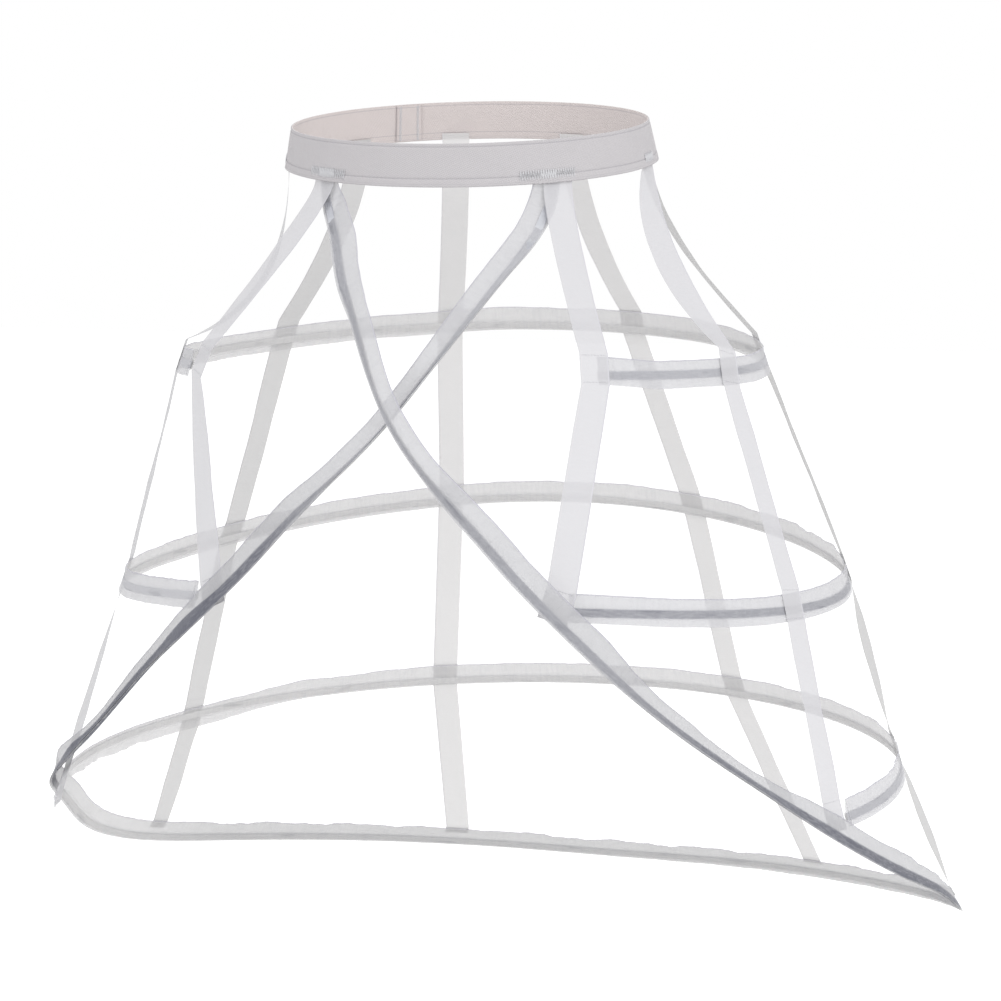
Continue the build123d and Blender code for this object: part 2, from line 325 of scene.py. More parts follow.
@dataclass
class HoopShape:
    """One open hoop: its ring, the angles where it stops, and how its casing hangs.

    The rows run from the right end to the left end. They give how far the casing hangs
    below its steel, the flap's bend and flutter in degrees, how plainly the steel's line shows
    through the cloth with painted shade about it, and how deep the gathers are.
    """

    name: str
    ring: Ring
    right: float
    left: float
    hang: Rows
    bend: Rows
    flutter: Rows
    shows: Rows
    gathers: Rows

    def share(self, angle: float) -> float:
        """Share of the way from the right end to the left end at an angle."""
        return (self.right - angle) % 360 / ((self.right - self.left) % 360)

    def stations(self, pitch: float) -> list[Station]:
        """Stations round the back, from the right end to the left end.

        Args:
            pitch: distance from one station to the next.

        Returns:
            The stations.
        """
        sweep = 360 - (self.left - self.right)
        around = math.radians(sweep) * (self.ring.half_width + self.ring.half_depth) / 2
        steps = round(around / pitch)
        found = []
        for i in range(steps + 1):
            angle = self.right - sweep * i / steps
            along = unit(self.ring.point(angle - 1) - self.ring.point(angle + 1))
            up = self.ring.up_the_cloth(angle)
            up = unit(up - along * up.dot(along))
            face = np.cross(along, up)
            if face.dot(self.ring.outward(angle)) < 0:
                face = -face
            found.append(Station(self.ring.point(angle), up, face))
        return found


# Rows of angle, level, distance out, share of the parting, turn and lay of the flap.
TURN, LAY = 4, 5
FRONT_ROUTE = (
    (-33.5, 0.31, -20.5, 0.0, 12.0, -28.0),
    (-22.5, 0.42, -9.0, 0.05, 24.0, -12.0),
    (-14.0, 0.59, 2.5, 0.4, 10.0, 10.0),
    (-6.5, 0.80, 11.0, 0.85, -38.0, -38.0),
    (0.0, 1.11, 15.5, 1.0, -62.0, -62.0),
    (6.5, 1.40, 15.5, 0.85, -62.0, -62.0),
    (14.0, 1.66, 12.0, 0.4, -30.0, -30.0),
    (20.5, 1.89, 8.5, 0.1, 0.0, 0.0),
    (28.0, 2.12, 7.8, 0.0, 0.0, 0.0),
    (38.5, 2.41, 4.6, 0.0, 32.0, 0.0),
    (51.0, 2.72, 6.0, 0.0, 40.0, 0.0),
    (63.5, 3.03, 9.6, 0.0, 6.0, 0.0),
    (76.0, 3.29, 6.5, 0.0, 2.0, 0.0),
    (88.0, 3.48, 1.5, 0.0, 10.0, 0.0),
    (100.0, 3.68, 0.0, 0.0, 6.0, 0.0),
    (116.0, 3.83, 0.0, 0.0, 0.0, 0.0),
    (131.0, 3.93, 0.0, 0.0, 0.0, 0.0),
    (147.0, 4.01, 0.0, 0.0, 0.0, 0.0),
    (164.0, 4.07, 0.0, 0.0, 0.0, 0.0),
)
BEHIND_ROUTE = (
    (-33.5, 0.37, -21.5, 0.0, 30.0, 30.0),
    (-22.5, 0.56, -9.0, 0.05, 50.0, 50.0),
    (-14.0, 0.77, 2.5, 0.4, 55.0, 55.0),
    (-6.5, 1.02, 11.0, 0.85, 62.0, 62.0),
    (0.0, 1.24, 15.5, 1.0, 62.0, 62.0),
    (6.5, 1.43, 15.5, 0.85, 50.0, 50.0),
    (14.0, 1.64, 12.0, 0.4, 12.0, 12.0),
    (20.5, 1.84, 8.5, 0.1, 0.0, 0.0),
    (28.0, 2.04, 5.8, 0.0, 0.0, 0.0),
    (38.5, 2.31, 4.6, 0.0, 40.0, 50.0),
    (51.0, 2.64, 4.6, 0.0, 42.0, 48.0),
    (63.5, 2.87, 6.6, 0.0, 10.0, 28.0),
    (76.0, 3.06, 8.0, 0.0, 4.0, 6.0),
    (84.0, 3.23, 6.0, 0.0, 6.0, 0.0),
    (91.0, 3.43, 2.5, 0.0, 8.0, 0.0),
    (99.0, 3.59, 0.0, 0.0, 6.0, 0.0),
    (111.0, 3.75, 0.0, 0.0, 0.0, 0.0),
    (126.0, 3.88, 0.0, 0.0, 0.0, 0.0),
    (144.0, 3.99, 0.0, 0.0, 0.0, 0.0),
    (163.0, 4.07, 0.0, 0.0, 0.0, 0.0),
)


@dataclass
class WrapShape:
    """The long hoop that crosses at the front and goes round as the hem.

    Its rows are those of HoopShape, and one more that gives how much painted shade darkens the
    cloth. They run from the start under the band at the right to the end at the left.
    """

    skirt: Skirt
    band: Band
    waist_angle: float = 39.0
    back_level: float = 4.10
    crossing_turn: float = 62.0
    crossing_gap: float = 0.6
    channel_depth: float = 2.4
    tuck: float = 10.0
    behind_tapes: float = 1.4
    start_lay: float = -28.0
    slack: float = 0.85
    hang: Rows = ((0, 0), (0.3, 0), (0.42, 3), (0.55, 1), (0.7, 0), (1, 0))
    flutter: Rows = (
        (0, 0.5), (0.12, 1), (0.2, 4), (0.3, 5), (0.42, 13),
        (0.6, 11), (0.72, 7), (0.78, 2), (1, 0.5),
    )
    # How plainly the steel's line shows; above 1 it widens upwards as painted shade where the
    # turned run lies in shade.
    shows: Rows = (
        (0, 0.45), (0.08, 0.42), (0.16, 0.5), (0.2, 0.9), (0.3, 1.0), (0.35, 0.4), (0.4, 0.0),
        (0.73, 0.0), (0.755, 0.8), (0.79, 1.3), (0.84, 1.2), (0.87, 0.95), (0.9, 0.45), (1, 0.08),
    )
    gathers: Rows = ((0, 0.05), (0.4, 0.1), (0.5, 0.25), (0.7, 0.25), (1, 0.05))
    # Painted shade along the wrap, most at the hem where the cloth lies in shade.
    painted_shade: Rows = (
        (0, 0), (0.1, 0.05), (0.16, 0.35), (0.3, 0.3), (0.42, 0.4), (0.62, 0.4),
        (0.7, 0.1), (0.8, 0.45), (0.88, 0.4), (0.92, 0.05), (1, 0),
    )

    def layout(self) -> tuple[np.ndarray, np.ndarray, list[float], list[float]]:
        """The line's points and what goes with each.

        Returns:
            The points, the places along the line, its turns, and how far its flap lies back.
        """
        turn = math.radians(self.crossing_turn)
        reach = -2 * CASING_LOW * math.sin(turn) + self.channel_depth * math.cos(turn)
        parting = (reach + self.crossing_gap) / 2
        front = self.half(FRONT_ROUTE, 1, parting)
        behind = self.half(BEHIND_ROUTE, -1, -parting)
        back = self.skirt.point(180, self.back_level, 0.0)
        points = np.array(front + [back] + behind[::-1])
        turns = [0.0, 0.0] + [row[TURN] for row in FRONT_ROUTE] + [0.0]
        turns += [row[TURN] for row in BEHIND_ROUTE][::-1] + [0.0, 0.0]
        laid = [self.start_lay] * 2 + [row[LAY] for row in FRONT_ROUTE] + [0.0]
        laid += [row[LAY] for row in BEHIND_ROUTE][::-1] + [0.0, 0.0]
        walked = np.concatenate([[0], np.cumsum(np.linalg.norm(np.diff(points, axis=0), axis=1))])
        return points, walked, turns, laid

    def bend(self) -> Rows:
        """How far the flap lies back flat against the skirt where the hoop is turned."""
        _, walked, _, laid = self.layout()
        return [(place / walked[-1], self.slack * angle) for place, angle in zip(walked, laid)]

    def half(self, route: Sequence[tuple[float, ...]], hand: int, parting: float) -> list[Point]:
        """Points of one half, parted from the other at the crossing.

        Args:
            route: the half's rows, in the order that FRONT_ROUTE's comment gives.
            hand: 1 for the half that runs towards the left, -1 for the other.
            parting: distance that this half stands out at the crossing.

        Returns:
            The points, from the waistband down.
        """
        inset = self.band.tape_inset(self.waist_angle) + self.behind_tapes
        angle = -hand * self.waist_angle
        points = [self.band.point(angle, height, inset) for height in (self.tuck, 0.0)]
        for around, level, out, share, *_ in route:
            points.append(self.skirt.point(hand * around, level, out + parting * share))
        return points

    def stations(self, pitch: float) -> list[Station]:
        """Stations from the start at the right to the end at the left.

        Args:
            pitch: distance from one station to the next.

        Returns:
            The stations.
        """
        points, walked, turns, _ = self.layout()
        rows = [(place / walked[-1], angle) for place, angle in zip(walked, turns)]
        line = SmoothLine(walked, points)
        found = []
        for place in np.linspace(0, walked[-1], round(walked[-1] / pitch) + 1):
            point, along = line.at(place)
            share = place / walked[-1]
            found.append(station(point, along, self.skirt.outward(point), eased(rows, share)))
        return found


class SmoothLine:
    """A natural cubic spline through points at given places along it."""

    def __init__(self, places: np.ndarray, points: np.ndarray) -> None:
        """Solve the spline's second derivatives.

        Args:
            places: rising distances, one for each point.
            points: the points that the line goes through.
        """
        self.places, self.points = places, points
        step = np.diff(places)
        count = len(places)
        system = np.eye(count)
        wanted = np.zeros_like(points)
        for i in range(1, count - 1):
            system[i, i - 1 : i + 2] = step[i - 1], 2 * (step[i - 1] + step[i]), step[i]
            wanted[i] = 6 * (
                (points[i + 1] - points[i]) / step[i] - (points[i] - points[i - 1]) / step[i - 1]
            )
        self.bends = np.linalg.solve(system, wanted)

    def at(self, place: float) -> tuple[Point, Point]:
        """Read the line at a place along it.

        Args:
            place: the distance along the line.

        Returns:
            The point and the line's direction there, at length one.
        """
        i = int(np.clip(np.searchsorted(self.places, place) - 1, 0, len(self.places) - 2))
        step = self.places[i + 1] - self.places[i]
        b = (place - self.places[i]) / step
        a = 1 - b
        near, far = self.points[i], self.points[i + 1]
        low, high = self.bends[i], self.bends[i + 1]
        point = a * near + b * far + ((a**3 - a) * low + (b**3 - b) * high) * step**2 / 6
        slope = (far - near) / step + ((1 - 3 * a * a) * low + (3 * b * b - 1) * high) * step / 6
        return point, unit(slope)


class Stop(NamedTuple):
    """A stretch where a tape is sewn down, from its start to its end."""

    start: Point
    end: Point
    face: Point


@dataclass
class TapeShape:
    """One tape's way from inside the band down over the hoops."""

    name: str
    angles: tuple[float, ...]
    drape: float
    skirt: Skirt
    band: Band
    hoops: Sequence[HoopShape]
    wrap: Sequence[Station]
    twists: tuple[float, ...] = (0.0, 0.0, 0.0, 0.0)
    tuck: float = 5.0
    hem_lap: float = 7.0

    def stops(self) -> list[Stop]:
        """Find the sewn stretches.

        Returns:
            The stretches, from the waist down.
        """
        inset = self.band.tape_inset(self.angles[0])
        top, edge = (self.band.point(self.angles[0], height, inset) for height in (self.tuck, 0.0))
        found = [Stop(top, edge, self.skirt.waist.outward(self.angles[0]))]
        for index in range(1, len(self.angles)):
            found.append(self.at_hoop(index) if index < 4 else self.at_hem())
        return found

    def at_hoop(self, index: int) -> Stop:
        """Where the tape is sewn down the outer face of a hoop's casing, slanting.

        Args:
            index: the hoop's number from the waist down, 1 for the upper one.

        Returns:
            The sewn stretch.
        """
        hoop, angle = self.hoops[index - 1], self.angles[index]
        up = hoop.ring.up_the_cloth(angle)
        outward = hoop.ring.outward(angle)
        face = unit(outward - up * outward.dot(up))
        base = hoop.ring.point(angle) + face * SEWING_GAP
        side = np.cross(up, face)
        start = self.skirt.rings[index - 1].point(self.angles[index - 1])
        end = self.skirt.rings[index].point(angle)
        straight = self.skirt.rings[index].point(self.angles[index - 1])
        slant = (end - straight).dot(side) / np.linalg.norm(end - start)
        fall = unit(side * slant - up)
        reach = CASING_LOW - eased(hoop.hang, hoop.share(angle)) - SEWING_GAP
        return Stop(base - fall * (CASING_HIGH + SEWING_GAP), base - fall * reach, face)

    def at_hem(self) -> Stop:
        """Where the tape is sewn on the outside of the wrap hoop at the hem.

        Returns:
            The sewn stretch.

        Raises:
            ValueError: the wrap hoop doesn't pass the tape's angle at the hem.
        """
        hem, angle = self.skirt.hem, self.angles[4]
        before: Optional[tuple[Station, float]] = None
        for place in self.wrap:
            if place.point[2] > -self.skirt.lower.drop:
                continue
            x, y = place.point[0] - hem.side, hem.shift - place.point[1]
            around = math.degrees(math.atan2(x / hem.half_width, y / hem.half_depth))
            turn = (around - angle + 180) % 360 - 180
            if before and before[1] <= 0 < turn:
                face = place.face
                base = place.point + face * SEWING_GAP
                start = base + place.across * (CASING_HIGH + SEWING_GAP)
                return Stop(start, base + place.across * (CASING_HIGH - self.hem_lap), face)
            before = (place, turn)
        raise ValueError(f"{self.name} meets no hem")

    def stations(self, pitch: float) -> tuple[list[Station], list[float]]:
        """Stations down the tape.

        Args:
            pitch: distance from one station to the next.

        Returns:
            The stations, and how free the tape is at each, 0 where it is sewn.
        """
        found: list[Station] = []
        free: list[float] = []
        stops = self.stops()
        for number, stop in enumerate(stops):
            along = unit(stop.end - stop.start)
            steps = max(2, round(np.linalg.norm(stop.end - stop.start) / pitch))
            for i in range(steps + 1):
                point = stop.start + (stop.end - stop.start) * i / steps
                found.append(station(point, along, stop.face))
                free.append(0.0)
            if number == len(stops) - 1:
                break
            after = stops[number + 1]
            reach = float(np.linalg.norm(after.start - stop.end))
            bend = (stop.end + after.start) / 2
            if number == 0:
                bend = stop.end - np.array([0.0, 0.0, reach * self.drape])
            following = unit(after.end - after.start)
            steps = round(reach / pitch)
            for i in range(1, steps):
                s = i / steps
                r = 1 - s
                point = stop.end * r * r + bend * (2 * s * r) + after.start * s * s
                ahead = unit((bend - stop.end) * r + (after.start - bend) * s)
                mixed = unit(along * r * r + ahead * (2 * s * r) + following * s * s)
                turn = self.twists[number] * math.sin(math.pi * s) ** 0.8
                found.append(station(point, mixed, stop.face * r + after.face * s, turn))
                free.append(math.sin(math.pi * s) ** 0.6)
        return found, free


def sheet_mesh(
    name: str,
    rows: Sequence[Sequence[Point]],
    places: Sequence[float],
    widths: Sequence[Sequence[tuple[float, float, float]]],
    closed: bool = False,
    capped: bool = False,
    tones: Optional[Sequence[tuple[float, float]]] = None,
    painted_shade: Optional[Sequence[float]] = None,
) -> bpy.types.Object:
    """A cloth grid with its own UV maps.

    Args:
        name: the piece's name.
        rows: rows of points in millimetres, one row for each place along the cloth.
        places: the distance along the cloth of each row, in millimetres.
        widths: for each point of each row its place across, its distance in from the
            upper edge, and which layer it is on.
        closed: whether each row's last point joins its first.
        capped: whether the first and last rows are filled in.
        tones: for each row how plainly the steel's line shows, partly painted shade, and how much
            painted interior light the cloth takes.
        painted_shade: for each row how much painted shade darkens the cloth, kept as a vertex
            attribute of that name.

    Returns:
        The piece, in metres. Its map "cloth" is along and across, in centimetres, and its
        map "edge" is the distance from the upper edge, in centimetres, and the layer. Its
        map "tone" holds the tones.
    """
    mesh = bmesh.new()
    painted_shade_layer = mesh.verts.layers.float.new("painted_shade")
    grid = [[mesh.verts.new(Vector(p) * MM) for p in row] for row in rows]
    for row, value in zip(grid, painted_shade or []):
        for vertex in row:
            vertex[painted_shade_layer] = value
    cloth = mesh.loops.layers.uv.new("cloth")
    edge = mesh.loops.layers.uv.new("edge")
    tone = mesh.loops.layers.uv.new("tone")
    columns = len(grid[0])
    for i in range(len(grid) - 1):
        for j in range(columns if closed else columns - 1):
            k = (j + 1) % columns
            corners = ((i, j), (i, k), (i + 1, k), (i + 1, j))
            face = mesh.faces.new([grid[a][b] for a, b in corners])
            face.smooth = True
            for loop, (a, b) in zip(face.loops, corners):
                across, from_edge, layer = widths[a][b]
                loop[cloth].uv = places[a] / 10, across / 10
                loop[edge].uv = from_edge / 10, layer
                loop[tone].uv = tones[a] if tones else (0.0, 0.0)
    if capped:
        mesh.faces.new(grid[0])
        mesh.faces.new(grid[-1][::-1])
    bmesh.ops.recalc_face_normals(mesh, faces=mesh.faces)
    data = bpy.data.meshes.new(name)
    mesh.to_mesh(data)
    mesh.free()
    piece = bpy.data.objects.new(name, data)
    bpy.context.scene.collection.objects.link(piece)
    return piece


def run_lengths(stations: Sequence[Station]) -> np.ndarray:
    """Distance along a strip of each of its stations, in millimetres."""
    points = np.array([s.point for s in stations])
    return np.concatenate([[0], np.cumsum(np.linalg.norm(np.diff(points, axis=0), axis=1))])


@dataclass
class Casing:
    """A ribbon folded double over a steel: closed along the top, a channel for the steel."""

    name: str
    stations: list[Station]
    hang: Rows
    bend: Rows
    flutter: Rows
    seed: float
    shows: Rows
    gathers: Rows = ((0, 0.15), (1, 0.15))
    calm: Sequence[float] = ()
    # Painted shade along the casing, none unless its rows ask for it.
    painted_shade: Rows = ((0, 0.0), (1, 0.0))
    outer: float = -0.25
    inner: float = -0.78
    channel: float = -2.2
    still_reach: float = 12.0
    still_fade: float = 22.0

    def section(self, hang: float) -> list[tuple[float, float, float, float]]:
        """The folded ribbon's section, from the inner layer's low edge over the fold.

        Args:
            hang: how far the casing hangs below its steel's channel.

        Returns:
            Rows of width, depth, distance from the fold and layer.
        """
        low, high = CASING_LOW - hang, CASING_HIGH - hang
        shoulder = CHANNEL_HALF + 0.9
        inner = [
            (low, self.inner),
            ((low - shoulder) / 2, self.inner),
            (-shoulder, self.inner),
            (-CHANNEL_HALF - 0.1, self.channel * 0.86),
            (-CHANNEL_HALF * 0.5, self.channel),
            (CHANNEL_HALF * 0.5, self.channel),
            (CHANNEL_HALF + 0.1, self.channel * 0.86),
            (shoulder, self.inner),
        ]
        top = high - 0.35
        inner += [(shoulder + (top - shoulder) * s, self.inner) for s in (0.3, 0.55, 0.8, 1)]
        rows = [(w, n, high - w, 1.0) for w, n in inner]
        rows.append((high, (self.inner + self.outer) / 2, 0.0, 0.5))
        spots = [top, shoulder + (top - shoulder) * 0.8, shoulder + (top - shoulder) * 0.55]
        spots += [shoulder + (top - shoulder) * 0.3, shoulder, CHANNEL_HALF * 0.5]
        spots += [-CHANNEL_HALF * 0.5, -shoulder, (low - shoulder) / 2, low]
        rows += [(w, self.outer, high - w, 0.0) for w in spots]
        return rows

    def stillness(self, place: float) -> float:
        """How free the ribbon's edges are at a place.

        Args:
            place: the distance along the casing.

        Returns:
            The freedom, 0 where a tape is sewn across it and 1 well away from one.
        """
        nearest = min((abs(place - spot) for spot in self.calm), default=1e3)
        step = min(max((nearest - self.still_reach) / self.still_fade, 0), 1)
        return step * step * (3 - 2 * step)

    def build(self) -> bpy.types.Object:
        """Make the folded ribbon with its ruffled edges.

        Returns:
            The piece.
        """
        lengths = run_lengths(self.stations)
        rows, widths, tones = [], [], []
        for place, (point, across, face) in zip(lengths, self.stations):
            share = place / lengths[-1]
            tones.append((eased(self.shows, share), 0.0))
            free = self.stillness(place)
            sway = eased(self.flutter, share) * free
            lean = eased(self.bend, share) * free
            up = lean + sway * ripple(place / 13.0, self.seed)
            down = sway * 0.8 * ripple(place / 9.0, self.seed + 3.1)
            gather = eased(self.gathers, share)
            pucker = gather * free * ripple(place / 2.2, self.seed + 5.3)
            stretch = 0.5 * ripple(place / 17.0, self.seed + 7.9) * free
            row, width = [], []
            for w, n, from_edge, layer in self.section(eased(self.hang, share)):
                width.append((w, from_edge, layer))
                root = CHANNEL_HALF + 0.9
                over = abs(w) - root
                if over > 0:
                    hand = 1 if w > 0 else -1
                    flap = over / (CASING_HIGH - root)
                    a = math.radians(up if w > 0 else down) * min(1.0, 0.4 + flap)
                    n = n + over * math.sin(a) + pucker * min(flap, 0.6)
                    w = hand * (root + over * math.cos(a)) + (stretch + 0.8 * pucker) * flap
                row.append(point + across * w + face * n)
            rows.append(row)
            widths.append(width)
        painted_shade = [eased(self.painted_shade, place / lengths[-1]) for place in lengths]
        piece = sheet_mesh(self.name, rows, lengths, widths, tones=tones, painted_shade=painted_shade)
        log.info("%s: %.0f mm long", self.name, lengths[-1])
        return piece


@dataclass
class Tape:
    """A flat woven ribbon, hanging free between the places where it is sewn."""

    shape: TapeShape
    seed: float
    # Share of painted interior light, 1 for the tapes seen from inside the skirt.
    inner_light_share: float = 0.0
    # Painted shade over the whole tape, for tapes that hang in shade.
    painted_shade: float = 0.0
    columns: int = 9

    def build(self) -> bpy.types.Object:
        """Make the ribbon with a faint cupping and ripple where it hangs free.

        Returns:
            The piece.
        """
        stations, free = self.shape.stations(PITCH)
        lengths = run_lengths(stations)
        rows, widths = [], []
        for place, slack, (point, across, face) in zip(lengths, free, stations):
            row, width = [], []
            for j in range(self.columns):
                t = 2 * j / (self.columns - 1) - 1
                lift = 0.5 * ripple(place / 21.0, self.seed) * t
                lift += 0.6 * ripple(place / 34.0, self.seed + 2.2) * (1 - t * t)
                sway = 0.8 * ripple(place / 60.0, self.seed + 4.4)
                w = t * TAPE_WIDTH / 2
                depth = TAPE_THICKNESS / 2 + (lift + sway) * slack
                row.append(point + across * w + face * depth)
                width.append((w, TAPE_WIDTH / 2 - w, 0.0))
            rows.append(row)
            widths.append(width)
        tones = [(0.0, self.inner_light_share)] * len(rows)
        painted_shade = [self.painted_shade] * len(rows)
        name = f"{self.shape.name}_ribbon"
        piece = sheet_mesh(name, rows, lengths, widths, tones=tones, painted_shade=painted_shade)
        log.info("%s: %.0f mm long", piece.name, lengths[-1])
        return piece

    def length(self) -> float:
        """Length of the ribbon in metres."""
        return float(run_lengths(self.shape.stations(PITCH)[0])[-1]) * MM


@dataclass
class Waistband:
    """The elastic loop: a woven wall with a selvedge groove, a folded hem and a sewn lap."""

    band: Band
    lap_angle: float = LAP_ANGLE
    lap_width: float = 18.0
    groove: float = 26.3
    fold: float = 5.6
    steps: int = 300

    def relief(self, height: float) -> float:
        """How far the outer face stands out.

        Args:
            height: height over the lower edge.

        Returns:
            The distance, below zero in a groove.
        """
        proud = 0.22 if height < self.fold else 0.0
        for line, depth, reach in ((self.groove, 0.4, 0.5), (self.fold, 0.45, 0.45)):
            proud -= depth * math.exp(-(((height - line) / reach) ** 2))
        return proud

    def profile(self) -> list[tuple[float, float, float]]:
        """The wall's closed section.

        Returns:
            Rows of height, depth from the inner face and layer.
        """
        wall, height = self.band.thickness, self.band.height
        outer = [0.35, 1.2, 2.4, 3.6, 4.6, 5.1, 5.6, 6.1, 7.2, 9.5, 12.5, 15.5, 18.5, 21.5, 24]
        outer += [25.4, 26.0, 26.3, 26.7, 27.3, 27.9, height - 0.3]
        rows = [(0.0, -wall / 2, 0.0)]
        rows += [(h, -wall - self.relief(h), 0.0) for h in outer]
        rows.append((height, -wall / 2, 0.5))
        rows += [(h, 0.0, 1.0) for h in reversed(outer)]
        return rows

    def build(self) -> bpy.types.Object:
        """Make the closed loop with its faint waviness.

        Returns:
            The piece.
        """
        profile = self.profile()
        around = math.pi * (self.band.half_width + self.band.half_depth)
        rows, widths, places = [], [], []
        for i in range(self.steps + 1):
            angle = 360.0 * i / self.steps
            wave = 0.35 * math.sin(math.radians(angle) * 9) * math.sin(math.radians(angle) * 4)
            rows.append([self.band.point(angle, h, n - wave * 0.5) for h, n, _ in profile])
            widths.append([(h, self.band.height - h, layer) for h, _, layer in profile])
            places.append(around * i / self.steps)
        piece = sheet_mesh("waistband_elastic", rows, places, widths, closed=True)
        merge(piece)
        log.info("%s: %.0f mm round", piece.name, around)
        return piece

    def build_lap(self) -> bpy.types.Object:
        """Make the overlapped end that is sewn inside the loop at the back.

        Returns:
            The piece.
        """
        half = math.degrees(self.lap_width / 2 / self.band.half_width) * 1.12
        steps = 12
        heights = [0.4, 1.6, 5, 9, 13, 17, 21, 25, 27, self.band.height - 0.5]
        shell = [(h, 0.45) for h in heights] + [(h, 1.45) for h in reversed(heights)]
        rows, widths, places = [], [], []
        for i in range(steps + 1):
            angle = self.lap_angle - half + 2 * half * i / steps
            ease = 0.25 if i in (0, steps) else 0.0
            row = [self.band.point(angle, h, n - ease * (n > 1)) for h, n in shell]
            rows.append(row)
            widths.append([(h, self.band.height - h, 1.0) for h, _ in shell])
            places.append(self.lap_width * i / steps)
        return sheet_mesh("waistband_lap", rows, places, widths, closed=True, capped=True)


def merge(piece: bpy.types.Object) -> None:
    """Join a piece's coincident points and turn its faces outwards.

    Args:
        piece: the piece, changed where it is.
    """
    mesh = bmesh.new()
    mesh.from_mesh(piece.data)
    bmesh.ops.remove_doubles(mesh, verts=mesh.verts, dist=0.00001)
    bmesh.ops.recalc_face_normals(mesh, faces=mesh.faces)
    mesh.to_mesh(piece.data)
    mesh.free()


@dataclass
class Stitching:
    """Sewing thread: every stitch of one seam or tack, as fine raised thread."""

    name: str
    thread: float = 0.28
    sides: int = 5
    mesh: bmesh.types.BMesh = field(default_factory=bmesh.new)

    def stitch(self, start: Point, end: Point, face: Point) -> None:
        """Add one stitch, rounded and tapered into the cloth at both ends.

        Args:
            start: where the thread comes up.
            end: where it goes down.
            face: the direction that the cloth faces.
        """
        along = unit(end - start)
        side = unit(np.cross(face, along))
        length = float(np.linalg.norm(end - start))
        near_end, rise = (0.35, -0.3), (0.9, 0.25)
        shape = ((0, *near_end), (0.18, *rise), (0.5, 1, 0.5), (0.82, *rise), (1, *near_end))
        rings = []
        for share, size, lift in shape:
            centre = start + along * length * share + face * self.thread * lift
            ring = []
            for k in range(self.sides):
                a = 2 * math.pi * k / self.sides
                out = (side * math.cos(a) + face * math.sin(a)) * self.thread * size
                ring.append(self.mesh.verts.new(Vector(centre + out) * MM))
            rings.append(ring)
        for near, far in zip(rings, rings[1:]):
            for k in range(self.sides):
                after = (k + 1) % self.sides
                self.mesh.faces.new((near[k], near[after], far[after], far[k]))
        self.mesh.faces.new(rings[0][::-1])
        self.mesh.faces.new(rings[-1])

    def seam(self, points: Sequence[Point], faces: Sequence[Point], gap: float = 0.25) -> None:
        """Add a running seam: one stitch between each two points, with gaps between."""
        for a, b, face in zip(points, points[1:], faces):
            self.stitch(a + (b - a) * gap / 2, b - (b - a) * gap / 2, face)

    def build(self) -> bpy.types.Object:
        """Finish the thread as one piece.

        Returns:
            The piece.
        """
        bmesh.ops.recalc_face_normals(self.mesh, faces=self.mesh.faces)
        for face in self.mesh.faces:
            face.smooth = True
        data = bpy.data.meshes.new(self.name)
        self.mesh.to_mesh(data)
        self.mesh.free()
        piece = bpy.data.objects.new(self.name, data)
        bpy.context.scene.collection.objects.link(piece)
        return piece


class Graph:
    """A shader tree and short ways to add and join its nodes."""

    def __init__(self, tree: bpy.types.NodeTree) -> None:
        """Keep the tree."""
        self.tree = tree

    def add(self, kind: str, inputs: Optional[dict] = None, **settings: object) -> bpy.types.Node:
        """Add a node.

        Args:
            kind: the node's type name, without its ShaderNode start.
            inputs: for each input, by name or number, a value or a socket to join.
            settings: the node's own options.

        Returns:
            The node.
        """
        node = self.tree.nodes.new("ShaderNode" + kind)
        for key, value in settings.items():
            setattr(node, key, value)
        for key, value in (inputs or {}).items():
            if isinstance(value, bpy.types.NodeSocket):
                self.tree.links.new(value, node.inputs[key])
            else:
                node.inputs[key].default_value = value
        return node

    def math(self, operation: str, a: object, b: object = 0.0, clamp: bool = False) -> object:
        """Add a Math node and return its output."""
        return self.add("Math", {0: a, 1: b}, operation=operation, use_clamp=clamp).outputs[0]

    def ramp(
        self, value: object, low: float, high: float, start: float = 0.0, end: float = 1.0
    ) -> object:
        """Map a value smoothly from low..high to start..end."""
        inputs = {"Value": value, "From Min": low, "From Max": high, "To Min": start, "To Max": end}
        return self.add("MapRange", inputs, interpolation_type="SMOOTHSTEP").outputs[0]

    def mix(self, share: object, a: object, b: object) -> object:
        """Mix two colours.

        Args:
            share: 0 for the first colour and 1 for the second.
            a: the first colour, or a socket that gives it.
            b: the second colour, or a socket that gives it.

        Returns:
            The mixed colour's socket.
        """
        node = self.add("Mix", data_type="RGBA")
        for socket, value in zip((node.inputs[0], node.inputs[6], node.inputs[7]), (share, a, b)):
            if isinstance(value, bpy.types.NodeSocket):
                self.tree.links.new(value, socket)
            else:
                socket.default_value = value
        return node.outputs[2]


def new_material(name: str) -> tuple[bpy.types.Material, Graph, bpy.types.Node]:
    """Start a material.

    Args:
        name: the material's name.

    Returns:
        The material, its graph and its shader.
    """
    material = bpy.data.materials.new(name)
    material.use_nodes = True
    return material, Graph(material.node_tree), material.node_tree.nodes["Principled BSDF"]


def new_group(
    name: str, inputs: dict[str, tuple[str, object]], outputs: dict[str, str]
) -> tuple[bpy.types.NodeTree, Graph, bpy.types.Node, bpy.types.Node]:
    """Start a shader node group.

    Args:
        name: the group's name.
        inputs: each input's name with its kind and starting value.
        outputs: each output's name with its kind.

    Returns:
        The group's tree, its graph, and the nodes that hold its inputs and outputs.
    """
    tree = bpy.data.node_groups.new(name, "ShaderNodeTree")
    for label, (kind, value) in inputs.items():
        socket = tree.interface.new_socket(label, in_out="INPUT", socket_type=f"NodeSocket{kind}")
        if value is not None:
            socket.default_value = value
    for label, kind in outputs.items():
        tree.interface.new_socket(label, in_out="OUTPUT", socket_type=f"NodeSocket{kind}")
    return tree, Graph(tree), tree.nodes.new("NodeGroupInput"), tree.nodes.new("NodeGroupOutput")


